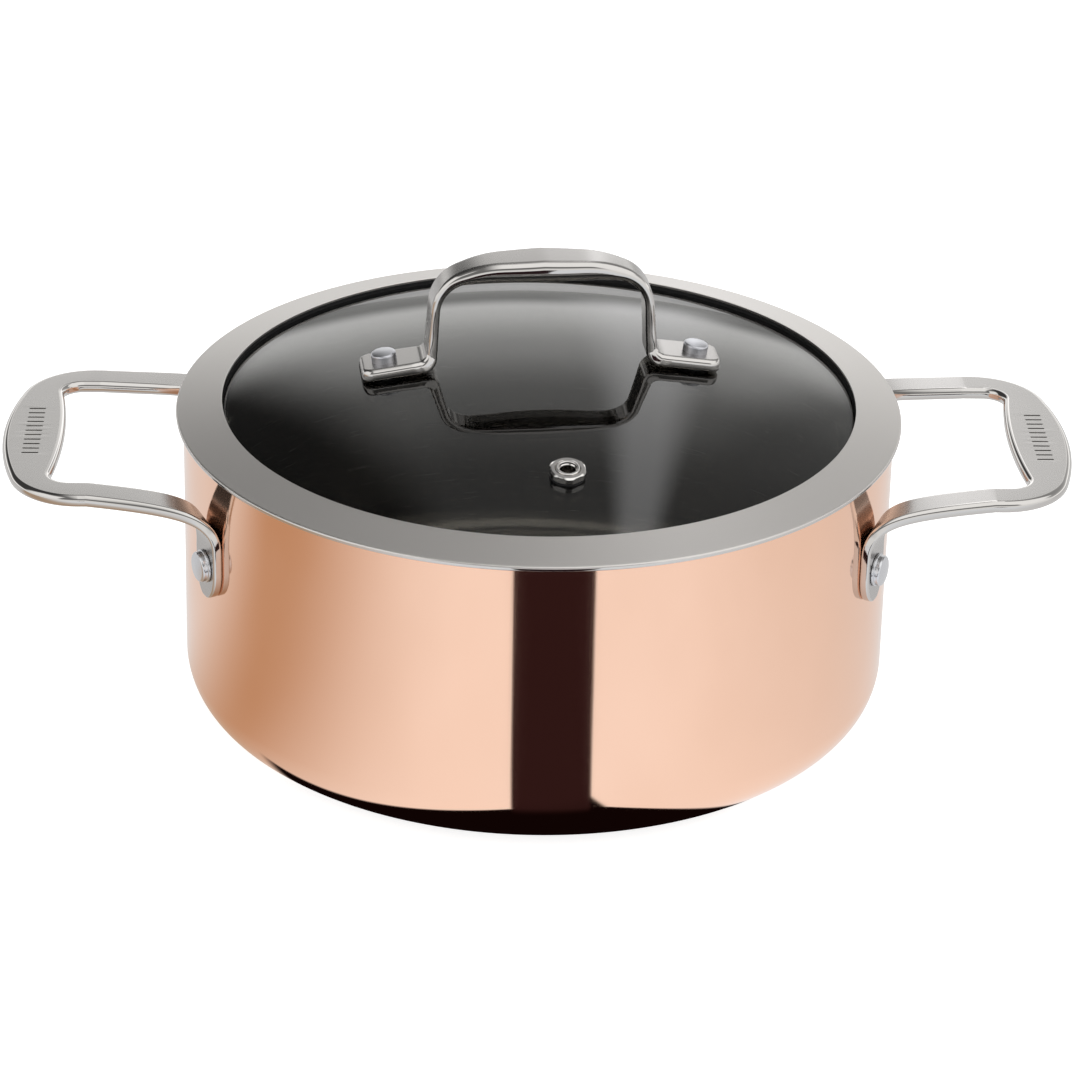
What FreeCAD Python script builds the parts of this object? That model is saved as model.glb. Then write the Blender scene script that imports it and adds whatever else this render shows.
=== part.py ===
import FreeCAD, Part
import math
import os

os.makedirs("parts", exist_ok=True)

# Two-handled tri-ply saucepan with a glass lid.  Millimetres, +Z up.
# Origin: centre of the pot's base.  X runs through the two side handles.

# --- Driving dimensions -------------------------------------------------------------
POT_OUTER_R = 122.5
COPPER_T = 0.5
ALUMINIUM_T = 1.5
STEEL_T = 0.5
RIM_Z = 105.6
BASE_CORNER_R = 17.5

# Lid.  LID_Z is the height of the band's outer top edge, the lid's own reference level.
LID_Z = 107.6
LID_TURN = 5.2
GLASS_APEX = 17.8
GLASS_SPHERE_R = 366.0
GLASS_T = 4.0
GLASS_EDGE_R = 117.0

# Rim band: one crimped sheet.
BAND_OUTER_R = 125.0
BAND_INNER_R = 109.2
BAND_RISE = 3.45
BAND_SHEET = 0.8
HEM_DEPTH = 1.7
HEM_HOLLOW = 1.25
HEM_GAP = 0.3
SEAT_CORNER_R = 0.6
SKIRT_OUTER_R = 118.9
SKIRT_BOTTOM = -8.0
SKIRT_CORNER_R = 0.8
LIP_INNER_R = 114.5
GASKET_SETBACK = 0.4

# Lid handle: a forged strap with a wider foot at each end.
STRAP_INNER_HALF = 36.2
STRAP_LEG_T = 3.7
STRAP_TOP_Z = 56.3
STRAP_GRIP_T = 7.9
STRAP_GRIP_W = 16.6
STRAP_LEG_W = 12.6
STRAP_SIDE_R = 60.0
STRAP_CROWN = (21.5, 1.0, 40.0)
STRAP_SHOULDER = (37.6, 8.0, 16.0)
STRAP_INNER_SHOULDER = (1.5, 0.6, 10.5)
LEG_SIDE_R = 20.0
LEG_NARROW_X = 34.9
HEEL_R = 4.5
INSTEP_R = 3.0
FOOT_W = 16.5
FOOT_T = 4.2
FOOT_END_X = 62.0
FOOT_CORNER_R = 4.0
FOOT_HEEL_CORNER_R = 1.2
FOOT_RIVET_X = 53.0
FOOT_PAD_T = 0.8
FOOT_WASHER_R = 6.0
BACKING_T = 1.0
SLEEVE_T = 0.8
FOOT_POLARS = {"right": 0.0, "left": 180.0}
LID_RIVET_HEAD_R = 4.3
LID_RIVET_HEAD_H = 3.3
LID_RIVET_SHANK_R = 2.4
LID_RIVET_TAIL_R = 3.8
LID_RIVET_TAIL_H = 1.5

# Steam vent.
VENT_R = 76.9
VENT_POLAR = -90.0
VENT_HOLE_R = 2.9
VENT_TUBE_R = 4.0
VENT_TUBE_PROUD = 0.3
VENT_FLANGE_T = 1.3
VENT_NUT_ACROSS_FLATS = 11.6
VENT_NUT_CORNER_R = 6.2
VENT_NUT_FACE_R = 5.5
VENT_NUT_CHAMFER = 0.45
VENT_NUT_H = 2.6
VENT_WASHER_R = 5.9
VENT_WASHER_T = 0.6

# Side handles: a forged loop with a riveted tab at each end.
GRIP_OUTER_X = 184.7
GRIP_INNER_X = 163.6
GRIP_OUTER_ARC_R = 126.0
GRIP_INNER_ARC_R = 228.0
GRIP_HALF_WIDTH = 52.6
GRIP_TOP_Z = 96.6
GRIP_T = 4.4
GRIP_OUTER_CORNER_R = 25.0
GRIP_INNER_CORNER_R = 6.5
GRIP_EDGE_R = 1.3
ARM_INNER_Y = 39.8
ARM_START_X = 153.0
ARM_REACH = (-33.0, 2.3, -2.6)
ARM_DROP = 13.0
ARM_STATIONS = 12
TAB_EDGE_R = 0.8
TAB_T = 3.3
TAB_HALF_WIDTH = 7.5
TAB_TIP_BELOW_RIVET = 11.8
TAB_TIP_R = 7.1
TAB_TOP_ABOVE_RIVET = 7.0
GROOVE_COUNT = 11
GROOVE_PITCH = 3.6
GROOVE_L = 6.0
GROOVE_W = 1.0
GROOVE_DEPTH = 0.35

# Pot rivets.
RIVET_POLAR = 25.4
RIVET_Z = 71.9
RIVET_HEAD_R = 5.25
RIVET_HEAD_H = 3.1
RIVET_EDGE_R = 0.9
RIVET_FLANGE_R = 5.7
RIVET_FLANGE_T = 0.6
RIVET_SHANK_R = 2.5
RIVET_INNER_HEAD_R = 6.0
RIVET_INNER_HEAD_H = 2.2
RIVET_INNER_EDGE_T = 0.5

# Length of the cutting shapes, long enough to pass right through any sheet or foot.
CUT_L = 30.0

Z_AXIS = FreeCAD.Vector(0, 0, 1)
ORIGIN = FreeCAD.Vector(0, 0, 0)


def vec(x, y, z=0.0):
    return FreeCAD.Vector(x, y, z)


def save(name, shape):
    solids = shape.Solids
    if not shape.isValid() or not solids:
        raise RuntimeError(f"{name} is not a valid solid")
    result = solids[0] if len(solids) == 1 else Part.makeCompound(solids)
    result.exportStep(f"parts/{name}.step")
    print(f"{name}: {len(solids)} solid, {result.Volume:.0f} mm3")


def revolve(points):
    """Solid of revolution about Z from a closed (r, z) outline.

    A point may be (r, z) or, for the far end of an arc, (r, z, (mid_r, mid_z)).
    """
    edges = []
    start = points[0]
    for point in list(points[1:]) + [points[0][:2]]:
        a = vec(start[0], 0, start[1])
        b = vec(point[0], 0, point[1])
        if len(point) == 3:
            edges.append(Part.Arc(a, vec(point[2][0], 0, point[2][1]), b).toShape())
        elif a.distanceToPoint(b) > 1e-6:
            edges.append(Part.makeLine(a, b))
        start = point
    return Part.Face(Part.Wire(edges)).revolve(ORIGIN, Z_AXIS, 360)


def corner_mid(centre_r, centre_z, radius, degrees):
    """Point on a circle in the (r, z) plane, for the middle of an arc."""
    angle = math.radians(degrees)
    return (centre_r + radius * math.cos(angle), centre_z + radius * math.sin(angle))


def polygon(points):
    """Closed planar face through 3-D points."""
    return Part.Face(Part.makePolygon(list(points) + [points[0]]))


def rounded_outline(corners):
    """Closed XY wire through corners (x, y, radius), each corner rounded to its radius."""
    count = len(corners)
    edges = []
    ends = []
    for i, (x, y, radius) in enumerate(corners):
        here = vec(x, y)
        before = vec(*corners[i - 1][:2])
        after = vec(*corners[(i + 1) % count][:2])
        back = (before - here).normalize()
        ahead = (after - here).normalize()
        half = back.getAngle(ahead) / 2
        if radius <= 0:
            ends.append((here, here))
            continue
        trim = radius / math.tan(half)
        to_centre = (back + ahead).normalize()
        centre = here + to_centre * (radius / math.sin(half))
        first = here + back * trim
        last = here + ahead * trim
        middle = centre - to_centre * radius
        edges.append(Part.Arc(first, middle, last).toShape())
        ends.append((first, last))
    for i in range(count):
        a = ends[i][1]
        b = ends[(i + 1) % count][0]
        if a.distanceToPoint(b) > 1e-6:
            edges.append(Part.makeLine(a, b))
    return Part.Wire(Part.__sortEdges__(edges))


# --- Pot ----------------------------------------------------------------------------
def cup(outer_r, bottom_z, thickness, corner_r):
    """Open cup of even thickness with rounded base corner, cut square at the rim."""
    inner_r = outer_r - thickness
    inner_corner = corner_r - thickness
    centre_r = outer_r - corner_r
    centre_z = bottom_z + corner_r
    return revolve([
        (0, bottom_z),
        (centre_r, bottom_z),
        (outer_r, centre_z, corner_mid(centre_r, centre_z, corner_r, -45)),
        (outer_r, RIM_Z),
        (inner_r, RIM_Z),
        (inner_r, centre_z),
        (centre_r, bottom_z + thickness, corner_mid(centre_r, centre_z, inner_corner, -45)),
        (0, bottom_z + thickness),
    ])


def at_rivet(shape, polar):
    """Turn a shape modelled about the X axis to a rivet's place on the wall."""
    placed = shape.copy()
    placed.rotate(ORIGIN, Z_AXIS, polar)
    placed.translate(vec(0, 0, RIVET_Z))
    return placed


def rivet_polars():
    """Polar angle of each pot rivet by name."""
    return {
        "right_rear": RIVET_POLAR,
        "left_rear": 180 - RIVET_POLAR,
        "left_front": 180 + RIVET_POLAR,
        "right_front": -RIVET_POLAR,
    }


def rivet_holes():
    """Drill for the four pot rivets."""
    drill = Part.makeCylinder(RIVET_SHANK_R, CUT_L, vec(POT_OUTER_R - CUT_L / 2, 0), vec(1, 0))
    return Part.makeCompound([at_rivet(drill, polar) for polar in rivet_polars().values()])


def pot_rivet(polar):
    """Rivet with a flanged outer head on the tab and a domed head inside the wall."""
    wall_inner = POT_OUTER_R - COPPER_T - ALUMINIUM_T - STEEL_T
    tab_face = POT_OUTER_R + TAB_T
    end = tab_face + RIVET_HEAD_H
    flange_end = tab_face + RIVET_FLANGE_T
    crown_edge = RIVET_HEAD_R - RIVET_EDGE_R
    body = revolve([
        (0, wall_inner - RIVET_INNER_HEAD_H),
        (RIVET_INNER_HEAD_R, wall_inner - RIVET_INNER_EDGE_T,
         (0.62 * RIVET_INNER_HEAD_R, wall_inner - 0.82 * RIVET_INNER_HEAD_H)),
        (RIVET_INNER_HEAD_R, wall_inner),
        (RIVET_SHANK_R, wall_inner),
        (RIVET_SHANK_R, tab_face),
        (RIVET_FLANGE_R, tab_face),
        (RIVET_FLANGE_R, flange_end),
        (RIVET_HEAD_R, flange_end + RIVET_FLANGE_R - RIVET_HEAD_R),
        (RIVET_HEAD_R, end - RIVET_EDGE_R),
        (crown_edge, end - RIVET_EDGE_R / 4,
         (crown_edge + 0.72 * RIVET_EDGE_R, end - 0.45 * RIVET_EDGE_R)),
        (0, end),
    ])
    body.rotate(ORIGIN, vec(0, 1), 90)
    inside_wall = Part.makeCylinder(wall_inner, CUT_L, vec(0, 0, -CUT_L / 2))
    inside_tab = Part.makeCylinder(tab_face, CUT_L, vec(0, 0, -CUT_L / 2))
    lap = RIVET_INNER_HEAD_H / 2
    shank = Part.makeCylinder(RIVET_SHANK_R, tab_face - wall_inner + 2 * lap,
                              vec(wall_inner - lap, 0), vec(1, 0))
    rivet = body.common(inside_wall).fuse([shank, body.cut(inside_tab)])
    return at_rivet(rivet.removeSplitter(), polar)


# --- Side handles -------------------------------------------------------------------
def corner_arc(big_x, big_r, line_y, corner_r, side):
    """Arc of corner_r that blends a circle centred on the X axis into the line y = line_y.

    side is 1 where the corner bulges past the circle's own centre line towards +X, with the
    corner inside the circle, and -1 where the corner lies outside the circle, on its -X side.
    Returns the arc's edge, its end on the line and its end on the circle.
    """
    rise = line_y - corner_r
    reach = big_r - side * corner_r
    centre = vec(big_x + side * math.sqrt(reach**2 - rise**2), rise)
    on_circle = vec(big_x, 0) + (centre - vec(big_x, 0)).normalize() * big_r
    on_line = vec(centre.x, line_y)
    middle = centre + (on_line + on_circle - centre * 2).normalize() * corner_r
    return Part.Arc(on_line, middle, on_circle).toShape(), on_line, on_circle


def grip_outline():
    """Closed C-shaped plan of the right grip, from one arm round to the other."""
    outer_corner, outer_line_end, outer_tangent = corner_arc(
        GRIP_OUTER_X - GRIP_OUTER_ARC_R, GRIP_OUTER_ARC_R, GRIP_HALF_WIDTH, GRIP_OUTER_CORNER_R, 1)
    inner_corner, inner_line_end, inner_tangent = corner_arc(
        GRIP_INNER_X + GRIP_INNER_ARC_R, GRIP_INNER_ARC_R, ARM_INNER_Y, GRIP_INNER_CORNER_R, -1)
    outer_start = vec(ARM_START_X, GRIP_HALF_WIDTH)
    inner_start = vec(ARM_START_X, ARM_INNER_Y)
    upper = [
        Part.makeLine(outer_start, outer_line_end),
        outer_corner,
        inner_corner,
        Part.makeLine(inner_line_end, inner_start),
        Part.makeLine(inner_start, outer_start),
    ]
    lower = [edge.mirror(ORIGIN, vec(0, 1, 0)) for edge in upper]
    across = []
    for tangent, middle_x in ((outer_tangent, GRIP_OUTER_X), (inner_tangent, GRIP_INNER_X)):
        mirrored = vec(tangent.x, -tangent.y)
        across.append(Part.Arc(tangent, vec(middle_x, 0), mirrored).toShape())
    return Part.Wire(Part.__sortEdges__(upper + lower + across))


def grip_plate():
    """Flat C-shaped grip of the right handle with eased edges, up to where the arms begin."""
    plate = Part.Face(grip_outline()).extrude(vec(0, 0, GRIP_T))
    plate.translate(vec(0, 0, GRIP_TOP_Z - GRIP_T))
    return plate.makeFillet(GRIP_EDGE_R, [edge for edge in plate.Edges if is_level_rim(edge)])


def is_level_rim(edge):
    """True for a horizontal edge that isn't on the plate's cut at the arms."""
    low, high = edge.BoundBox.ZMin, edge.BoundBox.ZMax
    return high - low < 1e-6 and edge.BoundBox.XMax > ARM_START_X + 1e-3


def rounded_section(centre, across, normal, width, thickness, corner):
    """Rounded rectangle wire in the plane of the unit vectors across and normal."""
    half_w = width / 2 - corner
    half_t = thickness / 2 - corner
    edges = []
    turn = math.sqrt(0.5)

    def place(a, b):
        return centre + across * a + normal * b

    signs = [(1, -1), (1, 1), (-1, 1), (-1, -1)]
    for i, (sa, sb) in enumerate(signs):
        next_a, next_b = signs[(i + 1) % 4]
        if i % 2 == 0:
            straight = (place(sa * (half_w + corner), sb * half_t),
                        place(next_a * (half_w + corner), next_b * half_t))
            arc_start = straight[1]
            arc_end = place(next_a * half_w, next_b * (half_t + corner))
        else:
            straight = (place(sa * half_w, sb * (half_t + corner)),
                        place(next_a * half_w, next_b * (half_t + corner)))
            arc_start = straight[1]
            arc_end = place(next_a * (half_w + corner), next_b * half_t)
        arc_middle = place(next_a * (half_w + corner * turn), next_b * (half_t + corner * turn))
        edges.append(Part.makeLine(*straight))
        edges.append(Part.Arc(arc_start, arc_middle, arc_end).toShape())
    return Part.Wire(edges)


def bezier(points, u):
    """Point and unit tangent of a cubic Bezier curve."""
    p0, p1, p2, p3 = points
    v = 1 - u
    place = p0 * v**3 + p1 * (3 * v * v * u) + p2 * (3 * v * u * u) + p3 * u**3
    tangent = (p1 - p0) * (v * v) + (p2 - p1) * (2 * v * u) + (p3 - p2) * (u * u)
    return place, tangent.normalize()


def even_stations(control, count):
    """Bezier parameters that divide the curve into equal lengths."""
    fine = 400
    points = [bezier(control, i / fine)[0] for i in range(fine + 1)]
    run = [0.0]
    for a, b in zip(points, points[1:]):
        run.append(run[-1] + a.distanceToPoint(b))
    stations = []
    for i in range(count + 1):
        wanted = run[-1] * i / count
        nearest = min(range(fine + 1), key=lambda k: abs(run[k] - wanted))
        stations.append(nearest / fine)
    return stations


def arm():
    """Rear arm of the right handle: leaves the grip level, then bends down to the wall."""
    polar = math.radians(RIVET_POLAR)
    outward = vec(math.cos(polar), math.sin(polar))
    start = vec(ARM_START_X, (ARM_INNER_Y + GRIP_HALF_WIDTH) / 2, GRIP_TOP_Z - GRIP_T / 2)
    end = outward * (POT_OUTER_R + TAB_T / 2) + vec(0, 0, RIVET_Z + TAB_TOP_ABOVE_RIVET)
    control = [start, start + vec(*ARM_REACH), end + vec(0, 0, ARM_DROP), end]
    start_width = GRIP_HALF_WIDTH - ARM_INNER_Y
    sections = []
    for u in even_stations(control, ARM_STATIONS):
        place, tangent = bezier(control, u)
        ease = u * u * (3 - 2 * u)
        across = vec(-math.sin(polar * ease), math.cos(polar * ease))
        normal = across.cross(tangent).normalize()
        width = start_width + (2 * TAB_HALF_WIDTH - start_width) * ease
        thickness = GRIP_T + (TAB_T - GRIP_T) * ease
        corner = GRIP_EDGE_R + (TAB_EDGE_R - GRIP_EDGE_R) * ease
        sections.append(rounded_section(place, across, normal, width, thickness, corner))
    return Part.makeLoft(sections, True, False)


def tab():
    """Rear tab of the right handle: a round-ended leaf lying on the pot's wall."""
    below = vec(0, 0, -CUT_L / 2)
    band = Part.makeCylinder(POT_OUTER_R + TAB_T, CUT_L, below).cut(
        Part.makeCylinder(POT_OUTER_R, CUT_L, below))
    leaf = Part.Face(rounded_outline([
        (TAB_TOP_ABOVE_RIVET, TAB_HALF_WIDTH, 0),
        (-TAB_TIP_BELOW_RIVET, TAB_HALF_WIDTH, TAB_TIP_R),
        (-TAB_TIP_BELOW_RIVET, -TAB_HALF_WIDTH, TAB_TIP_R),
        (TAB_TOP_ABOVE_RIVET, -TAB_HALF_WIDTH, 0),
    ])).extrude(vec(0, 0, CUT_L))
    leaf.rotate(ORIGIN, vec(0, 1), -90)
    leaf.translate(vec(POT_OUTER_R + CUT_L / 2, 0))
    return at_rivet(band.common(leaf), RIVET_POLAR)


def groove_tools():
    """Cutters for the row of short grooves on top of the right grip."""
    middle_x = (GRIP_INNER_X + GRIP_OUTER_X) / 2
    tools = []
    for i in range(GROOVE_COUNT):
        y = (i - (GROOVE_COUNT - 1) / 2) * GROOVE_PITCH
        corner = vec(middle_x - GROOVE_L / 2, y - GROOVE_W / 2, GRIP_TOP_Z - GROOVE_DEPTH)
        tools.append(Part.makeBox(GROOVE_L, GROOVE_W, 2 * GROOVE_DEPTH, corner))
    return Part.makeCompound(tools)


def right_side_handle():
    """Right handle: grip plate, two arms, two tabs, rivet holes and a row of grip grooves."""
    rear = arm().cut(Part.makeCylinder(POT_OUTER_R, RIM_Z)).fuse(tab())
    front = rear.mirror(ORIGIN, vec(0, 1))
    return grip_plate().fuse([rear, front]).cut(rivet_holes()).cut(groove_tools())


# --- Lid ----------------------------------------------------------------------------
def glass_z(r):
    """Height of the glass's top surface above the lid's reference level."""
    return GLASS_APEX - GLASS_SPHERE_R + math.sqrt(GLASS_SPHERE_R**2 - r * r)


def glass_tilt(r):
    """Slope of the glass's top surface in degrees."""
    return math.degrees(math.asin(r / GLASS_SPHERE_R))


def on_glass(shape, r, polar):
    """Stand a shape modelled on the XY plane on the glass's top surface."""
    placed = shape.copy()
    placed.rotate(ORIGIN, vec(0, 1, 0), glass_tilt(r))
    placed.translate(vec(r, 0, glass_z(r)))
    placed.rotate(ORIGIN, Z_AXIS, polar)
    return placed


def in_place(shape):
    """Move a lid piece from the lid's own frame to the closed lid's place."""
    placed = shape.copy()
    placed.rotate(ORIGIN, Z_AXIS, LID_TURN)
    placed.translate(vec(0, 0, LID_Z))
    return placed


def glass_blank():
    """The glass before drilling: part of a spherical shell."""
    centre = vec(0, 0, GLASS_APEX - GLASS_SPHERE_R)
    shell = Part.makeSphere(GLASS_SPHERE_R, centre).cut(
        Part.makeSphere(GLASS_SPHERE_R - GLASS_T, centre))
    return shell.common(Part.makeCylinder(GLASS_EDGE_R, 2 * CUT_L, vec(0, 0, -CUT_L)))


def lid_drill(radius, r, polar):
    """Drill square to the glass at radius r."""
    return on_glass(Part.makeCylinder(radius, CUT_L, vec(0, 0, -CUT_L / 2)), r, polar)


def glass():
    """Domed glass with clearance holes for the two rivets' sleeves and the vent's sleeve."""
    holes = [lid_drill(LID_RIVET_SHANK_R + SLEEVE_T, FOOT_RIVET_X, polar)
             for polar in FOOT_POLARS.values()]
    holes.append(lid_drill(VENT_TUBE_R + SLEEVE_T, VENT_R, VENT_POLAR))
    return glass_blank().cut(Part.makeCompound(holes))


def leaf_z(r):
    """Height of the rim band's sloping top leaf above the lid's reference level."""
    return BAND_RISE * (BAND_OUTER_R - r) / (BAND_OUTER_R - BAND_INNER_R)


def under_leaf_z(r):
    """Height of the underside of the top leaf."""
    slope = BAND_RISE / (BAND_OUTER_R - BAND_INNER_R)
    return leaf_z(r) - BAND_SHEET * math.sqrt(1 + slope * slope)


def rim_band():
    """One crimped sheet: top leaf, outer hem, seat on the pot's rim, skirt and inner lip."""
    hem_r = HEM_DEPTH / 2
    hem_centre = BAND_OUTER_R - hem_r
    top_z = leaf_z(hem_centre)
    seat_z = -HEM_DEPTH
    skirt_inner = SKIRT_OUTER_R - BAND_SHEET
    hollow_end = BAND_OUTER_R - HEM_HOLLOW
    bend = SEAT_CORNER_R * (1 - math.sqrt(0.5))
    round_r, round_z = SKIRT_OUTER_R - SKIRT_CORNER_R, SKIRT_BOTTOM + SKIRT_CORNER_R
    return revolve([
        (BAND_INNER_R, leaf_z(BAND_INNER_R)),
        (hem_centre, top_z),
        (hem_centre, seat_z, (BAND_OUTER_R, (top_z + seat_z) / 2)),
        (SKIRT_OUTER_R + SEAT_CORNER_R, seat_z),
        (SKIRT_OUTER_R, seat_z - SEAT_CORNER_R, (SKIRT_OUTER_R + bend, seat_z - bend)),
        (SKIRT_OUTER_R, round_z),
        (round_r, SKIRT_BOTTOM, corner_mid(round_r, round_z, SKIRT_CORNER_R, -45)),
        (LIP_INNER_R, SKIRT_BOTTOM),
        (LIP_INNER_R, SKIRT_BOTTOM + BAND_SHEET),
        (skirt_inner, SKIRT_BOTTOM + BAND_SHEET),
        (skirt_inner, seat_z + BAND_SHEET),
        (hollow_end, seat_z + BAND_SHEET),
        (hollow_end, min(under_leaf_z(hollow_end), top_z - HEM_GAP)),
        (BAND_INNER_R, under_leaf_z(BAND_INNER_R)),
    ])


def edge_gasket():
    """Silicone channel between the band and the edge of the glass."""
    inner_r = BAND_INNER_R + GASKET_SETBACK
    outer_r = SKIRT_OUTER_R - BAND_SHEET
    lip_r = LIP_INNER_R + GASKET_SETBACK
    lip_z = SKIRT_BOTTOM + BAND_SHEET
    block = revolve([
        (inner_r, under_leaf_z(inner_r)),
        (outer_r, under_leaf_z(outer_r)),
        (outer_r, lip_z),
        (lip_r, lip_z),
        (lip_r, glass_z(lip_r) - GLASS_T / 2),
        (inner_r, glass_z(inner_r) - GLASS_T / 2),
    ])
    return block.cut(glass_blank())


def foot_line(x, height):
    """Height at x of a line parallel to the foot, a given distance above the glass."""
    tilt = math.radians(glass_tilt(FOOT_RIVET_X))
    base = glass_z(FOOT_RIVET_X)
    return base + height / math.cos(tilt) - (x - FOOT_RIVET_X) * math.tan(tilt)


def strap_profile():
    """Front view of the lid handle, as a closed XZ wire, right half mirrored to the left."""
    top = FOOT_PAD_T + FOOT_T
    outer_half = STRAP_INNER_HALF + STRAP_LEG_T
    inner_top = STRAP_TOP_Z - STRAP_GRIP_T
    crown_x, crown_drop, crown_r = STRAP_CROWN
    shoulder_x, shoulder_drop, shoulder_r = STRAP_SHOULDER
    inner_lean, inner_drop, inner_r = STRAP_INNER_SHOULDER
    right_half = [
        (0.0, STRAP_TOP_Z, 0),
        (crown_x, STRAP_TOP_Z - crown_drop, crown_r),
        (shoulder_x, STRAP_TOP_Z - shoulder_drop, shoulder_r),
        (outer_half, foot_line(outer_half, top), INSTEP_R),
        (FOOT_END_X, foot_line(FOOT_END_X, top), 0),
        (FOOT_END_X, foot_line(FOOT_END_X, FOOT_PAD_T), 0),
        (STRAP_INNER_HALF, foot_line(STRAP_INNER_HALF, FOOT_PAD_T), HEEL_R),
        (STRAP_INNER_HALF - inner_lean, inner_top - inner_drop, inner_r),
        (0.0, inner_top, 0),
    ]
    left_half = [(-x, z, radius) for x, z, radius in reversed(right_half) if x > 0]
    outline = rounded_outline(right_half + left_half)
    outline.rotate(ORIGIN, vec(1, 0), 90)
    return outline


def strap_plan():
    """Plan of the grip and legs: widest at the middle of the grip, narrow at the legs."""
    quarter = [(LEG_NARROW_X, STRAP_LEG_W / 2, LEG_SIDE_R), (FOOT_RIVET_X, STRAP_LEG_W / 2, 0)]
    rear = (0.0, STRAP_GRIP_W / 2, STRAP_SIDE_R)
    front = (0.0, -STRAP_GRIP_W / 2, STRAP_SIDE_R)
    corners = [rear] + quarter + [(x, -y, r) for x, y, r in reversed(quarter)]
    corners += [front] + [(-x, -y, r) for x, y, r in quarter]
    corners += [(-x, y, r) for x, y, r in reversed(quarter)]
    return Part.Face(rounded_outline(corners)).extrude(vec(0, 0, 2 * STRAP_TOP_Z))


def right_foot_block():
    """Block that bounds the right foot: its plan, up to the height of the foot's top face."""
    plan = Part.Face(rounded_outline([
        (STRAP_INNER_HALF, FOOT_W / 2, FOOT_HEEL_CORNER_R),
        (FOOT_END_X, FOOT_W / 2, FOOT_CORNER_R),
        (FOOT_END_X, -FOOT_W / 2, FOOT_CORNER_R),
        (STRAP_INNER_HALF, -FOOT_W / 2, FOOT_HEEL_CORNER_R),
    ])).extrude(vec(0, 0, 2 * STRAP_TOP_Z))
    layer = polygon([vec(x, -FOOT_W, foot_line(x, height)) for x, height in (
        (0, 0), (2 * FOOT_END_X, 0),
        (2 * FOOT_END_X, FOOT_PAD_T + FOOT_T), (0, FOOT_PAD_T + FOOT_T))])
    return plan.common(layer.extrude(vec(0, 2 * FOOT_W)))


def lid_handle():
    """Forged strap: front view extruded, cut to its plan, widened at the feet and drilled."""
    slab = Part.Face(strap_profile()).extrude(vec(0, 2 * FOOT_W))
    slab.translate(vec(0, -FOOT_W))
    right_foot = slab.common(right_foot_block())
    left_foot = right_foot.mirror(ORIGIN, vec(1, 0))
    strap = slab.common(strap_plan()).fuse([right_foot, left_foot]).removeSplitter()
    holes = [lid_drill(LID_RIVET_SHANK_R, FOOT_RIVET_X, polar) for polar in FOOT_POLARS.values()]
    return strap.cut(Part.makeCompound(holes))


def ring_washer(outer_r, inner_r, low, high):
    """Flat washer about Z."""
    return revolve([(inner_r, low), (outer_r, low), (outer_r, high), (inner_r, high)])


def lid_rivet():
    """Rivet from the foot down through the glass, closed on the backing washer."""
    seat = FOOT_PAD_T + FOOT_T
    crown = seat + LID_RIVET_HEAD_H
    tail = -GLASS_T - FOOT_PAD_T - BACKING_T
    end = tail - LID_RIVET_TAIL_H
    return revolve([
        (0, crown),
        (0.86 * LID_RIVET_HEAD_R, crown - 0.27 * LID_RIVET_HEAD_H,
         (0.5 * LID_RIVET_HEAD_R, crown - 0.07 * LID_RIVET_HEAD_H)),
        (LID_RIVET_HEAD_R, crown - 0.55 * LID_RIVET_HEAD_H,
         (0.97 * LID_RIVET_HEAD_R, crown - 0.38 * LID_RIVET_HEAD_H)),
        (LID_RIVET_HEAD_R, seat),
        (LID_RIVET_SHANK_R, seat),
        (LID_RIVET_SHANK_R, tail),
        (LID_RIVET_TAIL_R, tail),
        (0.68 * LID_RIVET_TAIL_R, end + 0.13 * LID_RIVET_TAIL_H,
         (0.92 * LID_RIVET_TAIL_R, end + 0.4 * LID_RIVET_TAIL_H)),
        (0, end),
    ])


def foot_gasket():
    """Soft washer between foot and glass, with a sleeve round the rivet through the glass."""
    washer = ring_washer(FOOT_WASHER_R, LID_RIVET_SHANK_R, 0, FOOT_PAD_T)
    sleeve = ring_washer(LID_RIVET_SHANK_R + SLEEVE_T, LID_RIVET_SHANK_R, -GLASS_T, 0)
    return washer.fuse(sleeve).removeSplitter()


def hex_nut():
    """Hexagon nut with turned corners and chamfers, standing on the vent's upper washer."""
    seat = VENT_WASHER_T
    high = seat + VENT_NUT_H
    sharp_r = VENT_NUT_ACROSS_FLATS / math.sqrt(3)
    turns = [math.radians(60 * i) for i in range(6)]
    corners = [vec(sharp_r * math.cos(turn), sharp_r * math.sin(turn), seat) for turn in turns]
    prism = polygon(corners).extrude(vec(0, 0, VENT_NUT_H))
    blank = revolve([
        (VENT_TUBE_R, seat),
        (VENT_NUT_FACE_R, seat),
        (VENT_NUT_CORNER_R, seat + VENT_NUT_CHAMFER),
        (VENT_NUT_CORNER_R, high - VENT_NUT_CHAMFER),
        (VENT_NUT_FACE_R, high),
        (VENT_TUBE_R, high),
    ])
    return prism.common(blank)


def hollow_screw():
    """Tube through the glass with a flange below; its bore is the steam vent."""
    under = -GLASS_T - VENT_WASHER_T
    end = under - VENT_FLANGE_T
    high = VENT_WASHER_T + VENT_NUT_H + VENT_TUBE_PROUD
    lip = (VENT_TUBE_R - VENT_HOLE_R) / 3
    return revolve([
        (VENT_HOLE_R, high - lip),
        (VENT_HOLE_R + lip, high, (VENT_HOLE_R + 0.3 * lip, high - 0.3 * lip)),
        (VENT_TUBE_R - lip, high),
        (VENT_TUBE_R, high - lip),
        (VENT_TUBE_R, under),
        (VENT_WASHER_R, under),
        (VENT_WASHER_R, end + VENT_FLANGE_T / 3),
        (VENT_WASHER_R - VENT_FLANGE_T / 3, end),
        (VENT_HOLE_R, end),
    ])


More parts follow.
